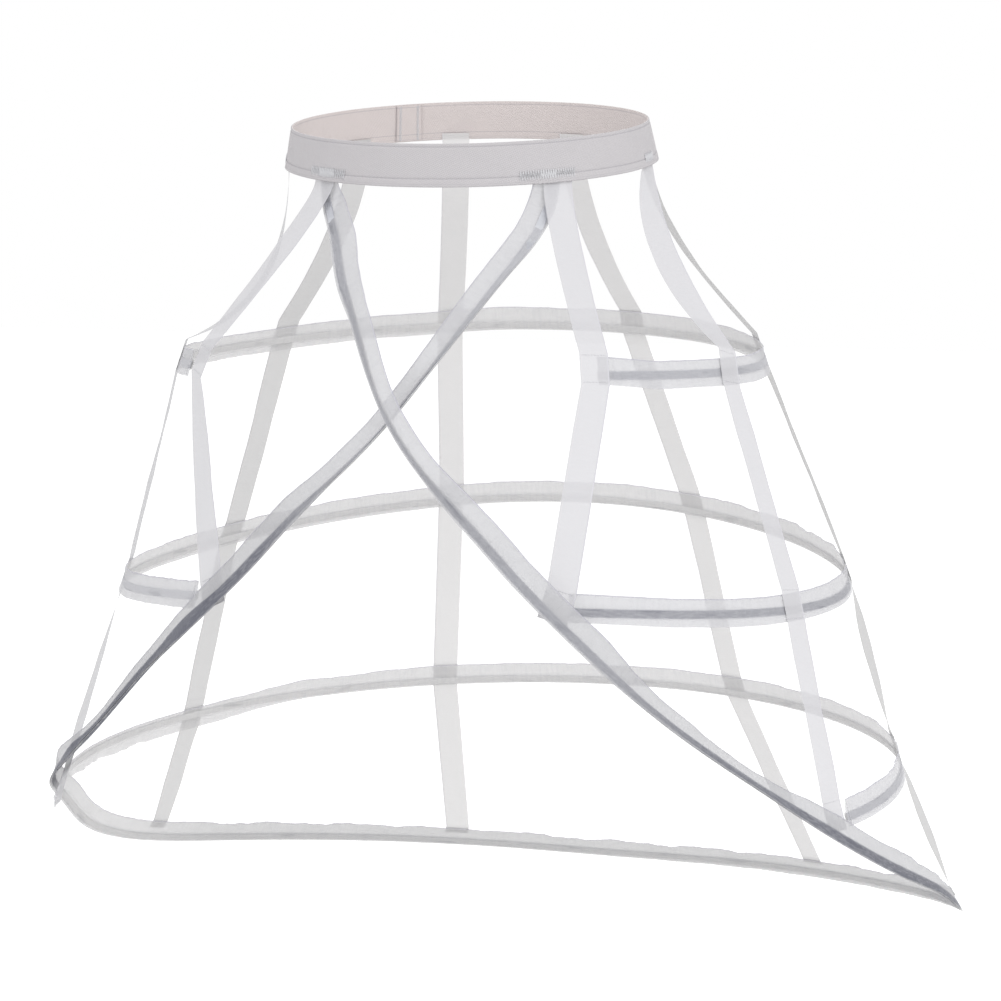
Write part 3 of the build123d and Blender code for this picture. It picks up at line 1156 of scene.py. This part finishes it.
def plain_weave() -> bpy.types.NodeTree:
    """Over-and-under threads along and across a cloth map.

    Returns:
        The group, which puts out the threads' height and a mask of the gaps between them.
    """
    tree, graph, given, out = new_group(
        "Plain weave",
        {"Map": ("Vector", None), "Threads": ("Float", 18.0), "Unevenness": ("Float", 0.3)},
        {"Height": "Float", "Gaps": "Float"},
    )
    wobble = graph.add("TexNoise", {"Vector": given.outputs["Map"], "Scale": 3.0, "Detail": 2.0})
    drift = graph.math("MULTIPLY", wobble.outputs["Fac"], given.outputs["Unevenness"])
    parts = graph.add("SeparateXYZ", {0: given.outputs["Map"]})
    waves = []
    for axis in (0, 1):
        turns = graph.math("MULTIPLY", parts.outputs[axis], given.outputs["Threads"])
        moved = graph.math("ADD", turns, drift)
        waves.append(graph.math("SINE", graph.math("MULTIPLY", moved, math.pi)))
    product = graph.math("MULTIPLY", waves[0], waves[1])
    height = graph.ramp(graph.math("ABSOLUTE", product), 0.0, 1.0)
    gaps = graph.ramp(graph.math("ABSOLUTE", product), 0.0, 0.25, 1.0, 0.0)
    tree.links.new(height, out.inputs["Height"])
    tree.links.new(gaps, out.inputs["Gaps"])
    return tree


def soft_wear() -> bpy.types.NodeTree:
    """Slow blotches and short creases across a ribbon.

    Returns:
        The group, which puts out the blotches' tone and the creases' height.
    """
    tree, graph, given, out = new_group(
        "Soft wear",
        {"Map": ("Vector", None), "Creases": ("Float", 1.0), "Blotches": ("Float", 1.0)},
        {"Tone": "Float", "Height": "Float"},
    )
    slow = graph.add("Mapping", {"Vector": given.outputs["Map"], "Scale": (0.5, 0.5, 1.0)})
    cloud = graph.add("TexNoise", {"Vector": slow.outputs[0], "Scale": 1.0, "Detail": 4.0})
    across = graph.add("Mapping", {"Vector": given.outputs["Map"], "Scale": (4.5, 0.8, 1.0)})
    crease = graph.add(
        "TexNoise", {"Vector": across.outputs[0], "Scale": 1.0, "Detail": 3.0, "Distortion": 0.8}
    )
    sharp = graph.ramp(crease.outputs["Fac"], 0.35, 0.68)
    level = graph.math("SUBTRACT", cloud.outputs["Fac"], 0.5)
    blot = graph.math("MULTIPLY", level, given.outputs["Blotches"])
    tree.links.new(graph.math("ADD", blot, 1.0), out.inputs["Tone"])
    tree.links.new(graph.math("MULTIPLY", sharp, given.outputs["Creases"]), out.inputs["Height"])
    return tree


@dataclass(frozen=True)
class RibbonFinish:
    """Sheer woven ribbon: cloth colour, how solid each layer is, the steel behind it with painted
    shade about its line, painted shade where the rows ask, and painted interior light on inner
    faces.
    """

    name: str
    colour: Colour
    shade: Colour
    # Lighter, warmer colour: painted interior light on faces seen inside the skirt.
    inner_light: Colour
    # Grey that painted shade darkens the cloth towards.
    painted_shade: Colour
    cover: float
    threads: float = 15.0
    # Dark colour of the steel's line: the steel seen through the cloth, and painted shade about it.
    steel_and_shade: Colour = (0.15, 0.155, 0.19, 1.0)
    steel_and_shade_amount: float = 0.0
    edge: Colour = (0.5, 0.49, 0.6, 1.0)
    edge_amount: float = 0.35
    creases: float = 1.0
    blotches: float = 0.12
    specular: float = 0.25
    sheen: float = 0.12

    def build(self, weave: bpy.types.NodeTree, wear: bpy.types.NodeTree) -> bpy.types.Material:
        """Make the material.

        Args:
            weave: the group of woven threads.
            wear: the group of blotches and creases.

        Returns:
            The material.
        """
        material, graph, shader = new_material(self.name)
        links = material.node_tree.links
        cloth = graph.add("UVMap", uv_map="cloth").outputs[0]
        edge = graph.add("SeparateXYZ", {0: graph.add("UVMap", uv_map="edge").outputs[0]})
        tones = graph.add("SeparateXYZ", {0: graph.add("UVMap", uv_map="tone").outputs[0]})
        painted_shade = graph.add("Attribute", attribute_name="painted_shade").outputs["Fac"]
        threads = graph.add("Group", {"Map": cloth, "Threads": self.threads}, node_tree=weave)
        creased = graph.add(
            "Group",
            {"Map": cloth, "Creases": self.creases, "Blotches": self.blotches},
            node_tree=wear,
        )
        gaps, folds = threads.outputs["Gaps"], creased.outputs["Height"]

        # Painted interior light: the casings' inner layer and the back tapes take a lighter, warmer
        # colour.
        inner_light_share = graph.math("MAXIMUM", graph.ramp(edge.outputs[1], 0.4, 0.6), tones.outputs[1])
        colour = graph.mix(inner_light_share, self.colour, self.inner_light)
        colour = graph.mix(graph.ramp(folds, 0.0, 1.0, 0.0, 0.4), colour, self.shade)
        # Painted shade: the cloth is darkened towards a grey where the rows put it in shade.
        colour = graph.mix(painted_shade, colour, self.painted_shade)
        colour = graph.mix(graph.math("MULTIPLY", gaps, 0.16), colour, self.shade)
        cover = graph.math("ADD", graph.math("MULTIPLY", gaps, -0.12), self.cover)
        rim = graph.ramp(edge.outputs[0], 0.03, 0.13, 1.0, 0.0)
        colour = graph.mix(graph.math("MULTIPLY", rim, self.edge_amount), colour, self.edge)
        cover = graph.math("ADD", cover, graph.math("MULTIPLY", rim, 0.18))
        # The steel's line: partly the real steel through the cloth, partly painted shade.
        if self.steel_and_shade_amount:
            band, strength = self.steel_and_shade_behind(graph, cloth, tones.outputs[0])
            colour = graph.mix(strength, colour, self.steel_and_shade)
            cover = graph.math("ADD", cover, graph.math("MULTIPLY", band, 0.25))

        height = threads.outputs["Height"]
        bump = graph.add("Bump", {"Height": folds, "Distance": 0.0006, "Strength": 0.6})
        fine = graph.add(
            "Bump",
            {"Height": height, "Distance": 0.00012, "Strength": 0.35, "Normal": bump.outputs[0]},
        )
        links.new(colour, shader.inputs["Base Color"])
        links.new(graph.math("MINIMUM", cover, 1.0), shader.inputs["Alpha"])
        links.new(graph.ramp(height, 0, 1, 0.72, 0.52), shader.inputs["Roughness"])
        links.new(fine.outputs[0], shader.inputs["Normal"])
        shader.inputs["Specular IOR Level"].default_value = self.specular
        shader.inputs["Sheen Weight"].default_value = self.sheen
        return material

    def steel_and_shade_behind(self, graph: Graph, cloth: object, shows: object) -> tuple[object, object]:
        """The dark line of the steel that shows through the cloth, uneven along its run, widened
        and deepened with painted shade where the channel lies in shade.

        Args:
            graph: the material's graph.
            cloth: the socket of the cloth map.
            shows: the socket of how plainly the steel's line shows, partly painted shade. Above 1
                the line widens upwards as painted shade beyond the steel.

        Returns:
            The sockets of the line's own mask and of how strongly it shows.
        """
        across = graph.add("SeparateXYZ", {0: cloth}).outputs[1]
        streaks = graph.add("Mapping", {"Vector": cloth, "Scale": (1.6, 7.0, 1.0)})
        mottle = graph.add(
            "TexNoise", {"Vector": streaks.outputs[0], "Scale": 1.0, "Detail": 3.0}
        ).outputs["Fac"]
        pressed = graph.add("Mapping", {"Vector": cloth, "Scale": (0.28, 1.5, 1.0)})
        press = graph.add(
            "TexNoise", {"Vector": pressed.outputs[0], "Scale": 1.0, "Detail": 2.0}
        ).outputs["Fac"]
        shift = graph.math("MULTIPLY", graph.math("SUBTRACT", mottle, 0.5), 0.12)
        rise = graph.ramp(shows, 1.0, 1.3, 0.0, 0.3)
        from_middle = graph.math("SUBTRACT", graph.math("ADD", across, shift), rise)
        reach = graph.math("SUBTRACT", graph.math("ABSOLUTE", from_middle), rise)
        wide = graph.math("MULTIPLY", graph.ramp(shows, 0.7, 1.0), 0.1)
        band = graph.ramp(graph.math("SUBTRACT", reach, wide), 0.21, 0.34, 1.0, 0.0)
        spots = graph.ramp(mottle, 0.3, 0.62, 0.75, 1.0)
        patch = graph.ramp(press, 0.56, 0.7, 0.0, 0.22)
        shown = graph.math("ADD", graph.math("MULTIPLY", shows, spots), patch)
        masked = graph.math("MULTIPLY", band, shown)
        return band, graph.math("MULTIPLY", masked, self.steel_and_shade_amount, clamp=True)


@dataclass(frozen=True)
class ElasticFinish:
    """Woven elastic: a cool outer face and a warmer inner face, ribbed on the slant."""
    # Woven elastic, ribbed on the slant: a cool outer face, an inner face in a warmer colour that
    # is painted interior light, and painted shade in its groove and at its fold.

    name: str = "Elastic, woven white"
    outside: Colour = (0.59, 0.57, 0.585, 1.0)
    # Inner face: painted warm interior light on the same elastic.
    inside: Colour = (0.71, 0.645, 0.63, 1.0)
    # Dark colour for the painted shade in the groove and at the fold, and for the weave's gaps and
    # blotches.
    line: Colour = (0.34, 0.33, 0.36, 1.0)
    groove_shades: tuple[tuple[float, float, float], ...] = (
        (2.63, 0.05, 0.5),
        (0.56, 0.05, 0.45),
        (0.2, 0.035, 0.3),
    )

    def build(self, weave: bpy.types.NodeTree, wear: bpy.types.NodeTree) -> bpy.types.Material:
        """Make the material.

        Args:
            weave: the group of woven threads.
            wear: the group of blotches and creases.

        Returns:
            The material.
        """
        material, graph, shader = new_material(self.name)
        links = material.node_tree.links
        cloth = graph.add("UVMap", uv_map="cloth").outputs[0]
        edge = graph.add("SeparateXYZ", {0: graph.add("UVMap", uv_map="edge").outputs[0]})
        slant = graph.add("Mapping", {"Vector": cloth, "Rotation": (0, 0, math.radians(24))})
        threads = graph.add("Group", {"Map": slant.outputs[0], "Threads": 9.0}, node_tree=weave)
        creased = graph.add(
            "Group", {"Map": cloth, "Creases": 0.5, "Blotches": 0.2}, node_tree=wear
        )
        # Painted interior light: the inner face takes the warmer colour.
        inward = graph.ramp(edge.outputs[1], 0.4, 0.6)
        colour = graph.mix(inward, self.outside, self.inside)
        colour = graph.mix(graph.math("MULTIPLY", threads.outputs["Gaps"], 0.4), colour, self.line)
        height = graph.add("SeparateXYZ", {0: cloth}).outputs[1]
        # Painted shade along the selvedge groove and the fold, and a third dark line near the lower
        # edge.
        for place, reach, amount in self.groove_shades:
            away = graph.math("ABSOLUTE", graph.math("SUBTRACT", height, place))
            mark = graph.ramp(away, 0.0, reach, amount, 0.0)
            colour = graph.mix(mark, colour, self.line)
        blotch = graph.math("SUBTRACT", 1.0, creased.outputs["Tone"])
        colour = graph.mix(graph.math("MULTIPLY", blotch, 1.2, clamp=True), colour, self.line)
        woven = threads.outputs["Height"]
        bump = graph.add("Bump", {"Height": woven, "Distance": 0.0004, "Strength": 0.5})
        links.new(colour, shader.inputs["Base Color"])
        links.new(graph.ramp(woven, 0, 1, 0.85, 0.6), shader.inputs["Roughness"])
        links.new(bump.outputs[0], shader.inputs["Normal"])
        shader.inputs["Specular IOR Level"].default_value = 0.2
        shader.inputs["Sheen Weight"].default_value = 0.1
        return material


@dataclass(frozen=True)
class ThreadFinish:
    """Twisted sewing thread."""

    name: str = "Sewing thread, white"
    colour: Colour = (0.72, 0.72, 0.74, 1.0)
    shade: Colour = (0.45, 0.45, 0.48, 1.0)

    def build(self) -> bpy.types.Material:
        """Make the material, its twist as a fine slanting wave.

        Returns:
            The material.
        """
        material, graph, shader = new_material(self.name)
        links = material.node_tree.links
        place = graph.add("TexCoord").outputs["Object"]
        twist = graph.add(
            "TexWave",
            {"Vector": place, "Scale": 900.0, "Distortion": 1.0},
            bands_direction="DIAGONAL",
        )
        fuzz = graph.add("TexNoise", {"Vector": place, "Scale": 600.0, "Detail": 2.0})
        mixed = graph.math("MULTIPLY", twist.outputs["Fac"], fuzz.outputs["Fac"])
        links.new(graph.mix(mixed, self.colour, self.shade), shader.inputs["Base Color"])
        links.new(graph.ramp(fuzz.outputs["Fac"], 0.3, 0.7, 0.5, 0.75), shader.inputs["Roughness"])
        height = twist.outputs["Fac"]
        bump = graph.add("Bump", {"Height": height, "Distance": 0.0001, "Strength": 0.4})
        links.new(bump.outputs[0], shader.inputs["Normal"])
        return material


@dataclass(frozen=True)
class SteelFinish:
    """Flat spring steel for hoops, rolled, with worn patches."""

    name: str = "Hoop steel, rolled"
    colour: Colour = (0.5, 0.51, 0.55, 1.0)
    worn: Colour = (0.6, 0.61, 0.64, 1.0)

    def build(self) -> bpy.types.Material:
        """Make the material, streaked and faintly mottled.

        Returns:
            The material.
        """
        material, graph, shader = new_material(self.name)
        links = material.node_tree.links
        place = graph.add("TexCoord").outputs["Object"]
        streak = graph.add("Mapping", {"Vector": place, "Scale": (60.0, 60.0, 900.0)})
        rolled = graph.add("TexNoise", {"Vector": streak.outputs[0], "Scale": 1.0, "Detail": 3.0})
        cloud = graph.add("TexNoise", {"Vector": place, "Scale": 45.0, "Detail": 4.0})
        share = graph.ramp(cloud.outputs["Fac"], 0.4, 0.65)
        links.new(graph.mix(share, self.colour, self.worn), shader.inputs["Base Color"])
        height = rolled.outputs["Fac"]
        links.new(graph.ramp(height, 0.3, 0.7, 0.38, 0.6), shader.inputs["Roughness"])
        bump = graph.add("Bump", {"Height": height, "Distance": 0.0001, "Strength": 0.3})
        links.new(bump.outputs[0], shader.inputs["Normal"])
        shader.inputs["Metallic"].default_value = 0.5
        return material


SHEER = RibbonFinish(
    "Casing ribbon, sheer white",
    colour=(0.645, 0.645, 0.675, 1.0),
    shade=(0.53, 0.53, 0.575, 1.0),
    inner_light=(0.785, 0.775, 0.77, 1.0),
    painted_shade=(0.4, 0.4, 0.41, 1.0),
    cover=0.6,
    steel_and_shade_amount=1.0,
    creases=0.45,
)
TAPE = RibbonFinish(
    "Tape, woven white",
    colour=(0.64, 0.635, 0.66, 1.0),
    shade=(0.56, 0.56, 0.59, 1.0),
    inner_light=(0.735, 0.725, 0.725, 1.0),
    painted_shade=(0.4, 0.4, 0.4, 1.0),
    cover=0.88,
    edge_amount=0.15,
    creases=0.15,
    blotches=0.06,
)


@dataclass
class Petticoat:
    """Everything on the object: its shapes, its pieces and their finishes."""

    frame: dict
    skirt: Skirt = field(default_factory=Skirt)
    band: Band = field(default_factory=Band)
    sewn_reach: float = 14.0
    diagonal_angle: float = 33.5
    tack_heights: tuple[float, float] = (2.6, 9.6)
    tack_step: float = 0.9

    def __post_init__(self) -> None:
        """Work out the hoops, the long wrap hoop and the finishes."""
        upper = HoopShape(
            "upper_hoop",
            self.skirt.upper,
            right=-54.0,
            left=38.3,
            hang=(
                (0, 4), (0.2, 5), (0.35, 3), (0.45, 0), (0.62, 0),
                (0.72, 3), (0.85, 5), (0.95, 5), (1, 2),
            ),
            bend=((0, 4), (0.5, 0), (1, 6)),
            flutter=((0, 16), (0.2, 10), (0.45, 5), (0.7, 6), (0.9, 12), (1, 14)),
            shows=((0, 0.02), (0.2, 0.05), (0.5, 0.07), (0.78, 0.1), (0.88, 0.28), (1, 0.36)),
            gathers=((0, 0.7), (0.08, 0.5), (0.2, 0.1), (0.9, 0.1), (1, 0.3)),
        )
        middle = HoopShape(
            "middle_hoop",
            self.skirt.middle,
            right=-32.0,
            left=27.0,
            hang=((0, 4.5), (0.15, 3), (0.35, 2), (0.5, 0), (0.78, 1), (0.92, 4.5), (1, 2.5)),
            bend=((0, 6), (0.5, 0), (1, 4)),
            flutter=((0, 10), (0.2, 9), (0.45, 5), (0.7, 12), (0.85, 14), (1, 8)),
            shows=((0, 0.0), (0.15, 0.02), (0.4, 0.08), (0.7, 0.06), (0.8, 0.45), (1, 0.6)),
            gathers=(
                (0, 0.5), (0.12, 0.7), (0.2, 0.2), (0.6, 0.1), (0.78, 0.4), (0.86, 0.1), (1, 0.1),
            ),
        )
        lower = HoopShape(
            "lower_hoop",
            self.skirt.lower,
            right=-64.0,
            left=69.0,
            hang=((0, 9), (0.22, 9), (0.32, 0.5), (0.6, 0), (1, 2)),
            bend=((0, 0), (0.1, -12), (0.3, -14), (0.5, 0), (1, 4)),
            flutter=((0, 10), (0.15, 12), (0.4, 5), (0.7, 6), (1, 12)),
            shows=((0, 0.0), (0.25, 0.02), (0.6, 0.08), (0.85, 0.05), (1, 0.25)),
            gathers=((0, 0.5), (0.2, 0.5), (0.32, 0.1), (0.9, 0.15), (1, 0.3)),
        )
        self.hoops = (upper, middle, lower)
        self.wrap = WrapShape(self.skirt, self.band)
        weave, wear = plain_weave(), soft_wear()
        self.sheer = SHEER.build(weave, wear)
        self.ribbon = TAPE.build(weave, wear)
        self.elastic = ElasticFinish().build(weave, wear)
        self.thread = ThreadFinish().build()
        self.steel = SteelFinish().build()

    def dress(self, piece: bpy.types.Object, material: bpy.types.Material) -> None:
        """Give a piece its material and its body.

        Args:
            piece: the piece.
            material: its finish.
        """
        piece.data.materials.clear()
        piece.data.materials.append(material)
        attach(piece, "root")
        log.info("%s: %d faces", piece.name, len(piece.data.polygons))

    def tapes(self, wrap: Sequence[Station]) -> list[TapeShape]:
        """The eight tapes' shapes.

        Args:
            wrap: the stations of the wrap hoop, which the longest tapes end on.

        Returns:
            The shapes.
        """
        rows = (
            ("front_tape_left", (40, 37.5, 25), 0.2, (0, 0, 0, 0)),
            ("front_tape_right", (-38, -48, -28), 0.1, (0, 0, 0, 0)),
            ("side_tape_left", (84, 71, 67, 66), 0.45, (-32, 0, 0, 0)),
            ("side_tape_right", (-76, -75, -78, -61), 0.65, (10, 0, 12, 0)),
            ("rear_side_tape_left", (117, 112, 106, 108, 103), 0.3, (0, 0, -25, -22)),
            ("rear_side_tape_right", (-127, -121, -115.5, -115.5, -107), 0.3, (0, 0, 0, 0)),
            ("back_tape_left", (158, 159, 156, 153, 148), 0.3, (0, 0, 0, 0)),
            ("back_tape_right", (-162, -160, -159, -159, -158), 0.3, (0, 0, 0, 0)),
        )
        fixed = self.skirt, self.band, self.hoops, wrap
        return [
            TapeShape(name, angles, drape, *fixed, twists) for name, angles, drape, twists in rows
        ]

    def make_waistband(self) -> None:
        """The elastic loop and its lap."""
        maker = Waistband(self.band)
        loop, lap = maker.build(), maker.build_lap()
        self.dress(loop, self.elastic)
        self.dress(lap, self.elastic)
        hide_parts("waistband")

    def make_tapes(self, shapes: Sequence[TapeShape]) -> None:
        """Make the eight tapes, those at the back in a lighter, warmer colour that is painted
        interior light, as their inner faces are seen.

        Args:
            shapes: the tapes' shapes.
        """
        # Painted shade on the tapes that hang in shade at the sides and the back.
        painted_shade = {"rear_side_tape_right": 0.35, "rear_side_tape_left": 0.6, "side_tape_right": 0.3}
        for number, shape in enumerate(shapes):
            inner_light_share = 1.0 if "rear" in shape.name or "back" in shape.name else 0.0
            maker = Tape(shape, seed=1.3 * number, inner_light_share=inner_light_share, painted_shade=painted_shade.get(shape.name, 0.0))
            piece = maker.build()
            self.dress(piece, self.ribbon)
            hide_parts(shape.name)
            maker.length()

    def make_casing(self, name: str, maker: Casing) -> None:
        """Make one casing over its steel.

        Args:
            name: the hoop's name.
            maker: the casing's shape.
        """
        piece = maker.build()
        self.dress(piece, self.sheer)
        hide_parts(f"{name}_casing")
        flat = (2 * CASING_WIDTH * MM, run_lengths(maker.stations)[-1] * MM)

    def crossings(self, stations: Sequence[Station], shapes: Sequence[TapeShape]) -> list[float]:
        """Places along a hoop where a tape is sewn across it.

        Args:
            stations: the hoop's stations.
            shapes: the tapes' shapes.

        Returns:
            The distances along the hoop.
        """
        lengths = run_lengths(stations)
        points = np.array([s.point for s in stations])
        found = []
        for shape in shapes:
            for stop in shape.stops():
                away = np.linalg.norm(points - (stop.start + stop.end) / 2, axis=1)
                if away.min() < self.sewn_reach:
                    found.append(float(lengths[away.argmin()]))
        return found

    def sew_band(self, shapes: Sequence[TapeShape]) -> None:
        """Zigzag tacks through the band over each tape, and down the lap's two ends.

        Args:
            shapes: the tapes' shapes.
        """
        thread = Stitching("band_tacks")
        wall = self.band.thickness
        diagonals = [-self.diagonal_angle, self.diagonal_angle]
        for angle in [shape.angles[0] for shape in shapes] + diagonals:
            outward = self.skirt.waist.outward(angle)
            reach = 13.0 if abs(angle) < 50 else 9.0
            steps = round(reach * 2 / self.tack_step)
            spots = []
            for i in range(steps + 1):
                around = angle + math.degrees((i / steps - 0.5) * 2 * reach / self.band.half_width)
                spots.append(self.band.point(around, self.tack_heights[i % 2], -wall - 0.25))
            thread.seam(spots, [outward] * len(spots), gap=0.02)
        for edge in (-1, 1):
            centre = LAP_ANGLE + edge * 3.1
            outward = self.skirt.waist.outward(centre)
            spots = []
            for i in range(30):
                around = centre + (1, -1)[i % 2] * 0.55
                height = 1.2 + i * (self.band.height - 2.4) / 29
                spots.append(self.band.point(around, height, 1.55))
            thread.seam(spots, [-outward] * len(spots), gap=0.04)
        self.dress(thread.build(), self.thread)

    def sew_tapes(self, shapes: Sequence[TapeShape]) -> None:
        """Two short rows of stitches wherever a tape crosses a hoop, and one more at its end.

        Args:
            shapes: the tapes' shapes.
        """
        thread = Stitching("tape_stitches", thread=0.22)
        for shape in shapes:
            stops = shape.stops()
            for number, stop in enumerate(stops[1:], start=1):
                along = unit(stop.end - stop.start)
                place = station(stop.start, along, stop.face)
                length = float(np.linalg.norm(stop.end - stop.start))
                rows = [1.6, length - 1.8]
                if number == len(stops) - 1:
                    rows.append(length - 3.0)
                for down in rows:
                    centre = place.point + along * down + place.face * (TAPE_THICKNESS / 2 + 0.1)
                    spots = [
                        centre + place.across * (2 * STITCH_HALF * i / 8 - STITCH_HALF)
                        for i in range(9)
                    ]
                    thread.seam(spots, [place.face] * 9)
        self.dress(thread.build(), self.thread)

    def sew_ends(self, name: str, maker: Casing) -> None:
        """Rows of stitches across a casing at both of its ends.

        Args:
            name: the hoop's name.
            maker: the casing's shape.
        """
        thread = Stitching(f"{name}_end_stitches", thread=0.22)
        lengths = run_lengths(maker.stations)
        for place in (2.2, lengths[-1] - 2.2):
            index = int(np.abs(lengths - place).argmin())
            point, across, face = maker.stations[index]
            hang = eased(maker.hang, place / lengths[-1])
            low, high = CASING_LOW - hang + 1.2, CASING_HIGH - hang - 1.2
            spots = [point + across * (low + (high - low) * i / 8) + face * 0.05 for i in range(9)]
            thread.seam(spots, [face] * 9)
        self.dress(thread.build(), self.thread)

    def make_steels(self) -> None:
        """Finish the bones, which stay as the frame has them."""
        for name, node in self.frame["nodes"].items():
            if name.endswith("_steel"):
                node.data.materials.clear()
                node.data.materials.append(self.steel)

    def build(self) -> None:
        """Make every piece in order."""
        self.make_steels()
        wrap = self.wrap.stations(PITCH)
        shapes = self.tapes(wrap)
        self.make_waistband()
        self.make_tapes(shapes)
        for number, hoop in enumerate(self.hoops):
            stations = hoop.stations(PITCH)
            maker = Casing(
                f"{hoop.name}_ribbon",
                stations,
                hang=hoop.hang,
                bend=hoop.bend,
                flutter=hoop.flutter,
                seed=0.9 + number,
                shows=hoop.shows,
                gathers=hoop.gathers,
                calm=self.crossings(stations, shapes),
            )
            self.make_casing(hoop.name, maker)
            self.sew_ends(hoop.name, maker)
        maker = Casing(
            "wrap_hoop_ribbon",
            wrap,
            hang=self.wrap.hang,
            bend=self.wrap.bend(),
            flutter=self.wrap.flutter,
            seed=4.4,
            shows=self.wrap.shows,
            gathers=self.wrap.gathers,
            calm=self.crossings(wrap, shapes),
            painted_shade=self.wrap.painted_shade,
        )
        self.make_casing("wrap_hoop", maker)
        self.sew_band(shapes)
        self.sew_tapes(shapes)


@dataclass
class Studio:
    """A white sweep, soft lamps and the camera."""

    floor_height: float = -0.98
    floor_reach: float = 9.0
    floor_glow: float = 0.5
    world_level: float = 0.72
    aim: tuple[float, float, float] = (0.0, 0.0, -0.3)
    camera_place: tuple[float, float, float] = (0.5513, -1.8445, 0.033)
    camera_pitch: float = 81.5
    camera_swing: float = 16.0
    lens: float = 97.8
    sensor: float = 36.0

    def floor(self) -> None:
        """The plain white floor, bright to the camera and still taking the shadow."""
        place = (0, 0, self.floor_height)
        bpy.ops.mesh.primitive_plane_add(size=2 * self.floor_reach, location=place)
        floor = bpy.context.active_object
        floor.name = "studio_floor"
        material, graph, shader = new_material("Studio white")
        shader.inputs["Base Color"].default_value = (0.85, 0.85, 0.85, 1.0)
        shader.inputs["Roughness"].default_value = 0.9
        shader.inputs["Emission Color"].default_value = (1.0, 1.0, 1.0, 1.0)
        glow = graph.math("MULTIPLY", self.seen(graph), self.floor_glow)
        material.node_tree.links.new(glow, shader.inputs["Emission Strength"])
        floor.data.materials.append(material)

    def seen(self, graph: Graph) -> object:
        """A mask that is 1 where the camera sees, also in a gloss or through glass.

        Args:
            graph: the graph of the material or the world that the mask is for.

        Returns:
            The mask's socket.
        """
        path = graph.add("LightPath").outputs
        gloss = graph.math("MAXIMUM", path["Is Glossy Ray"], path["Is Transmission Ray"])
        return graph.math("MAXIMUM", path["Is Camera Ray"], gloss)

    def world(self) -> None:
        """White to the camera, and an even pale light on the object."""
        world = bpy.data.worlds.new("Studio world")
        bpy.context.scene.world = world
        world.use_nodes = True
        graph = Graph(world.node_tree)
        backdrop = world.node_tree.nodes["Background"]
        backdrop.inputs["Color"].default_value = (1.0, 1.0, 1.0, 1.0)
        light = graph.ramp(self.seen(graph), 0.0, 1.0, self.world_level, 1.0)
        world.node_tree.links.new(light, backdrop.inputs["Strength"])

    def lamp(
        self, name: str, place: tuple[float, float, float], size: float, power: float
    ) -> None:
        """A soft square lamp aimed at the middle of the skirt.

        Args:
            name: the lamp's name.
            place: where it stands.
            size: the length of its side.
            power: its power in watts.
        """
        bpy.ops.object.light_add(type="AREA", location=place)
        lamp = bpy.context.active_object
        lamp.name = name
        lamp.data.shape = "SQUARE"
        lamp.data.size = size
        lamp.data.energy = power
        aim = Vector(self.aim) - Vector(place)
        lamp.rotation_euler = aim.to_track_quat("-Z", "Y").to_euler()

    def camera(self) -> None:
        """The camera, from the front and a little to the wearer's left."""
        bpy.ops.object.camera_add(location=self.camera_place)
        camera = bpy.context.active_object
        pitch, swing = math.radians(self.camera_pitch), math.radians(self.camera_swing)
        camera.rotation_euler = (pitch, 0, swing)
        camera.data.lens = self.lens
        camera.data.sensor_width = self.sensor
        bpy.context.scene.camera = camera

    def build(self) -> None:
        """Set up the whole studio."""
        self.floor()
        self.world()
        self.lamp("key_lamp", (1.9, -1.6, 1.1), 1.8, 32)
        self.lamp("fill_lamp", (-1.9, -1.3, 0.7), 2.0, 14)
        self.lamp("back_lamp", (-0.3, 2.0, 1.6), 1.8, 14)
        self.camera()
        bpy.context.scene.view_settings.view_transform = "Standard"
        log.info("studio: floor, three lamps and the camera")


def corners(box: tuple) -> list[list[float]]:
    """A box's lowest and highest corners as plain lists."""
    return [list(corner) for corner in box]


def main() -> None:
    """Load the frame, build every piece and the studio, and note the sizes."""
    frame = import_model()
    bpy.ops.object.select_all(action="DESELECT")
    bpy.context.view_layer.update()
    Petticoat(frame).build()
    Studio().build()


if __name__ == "__main__":
    main()
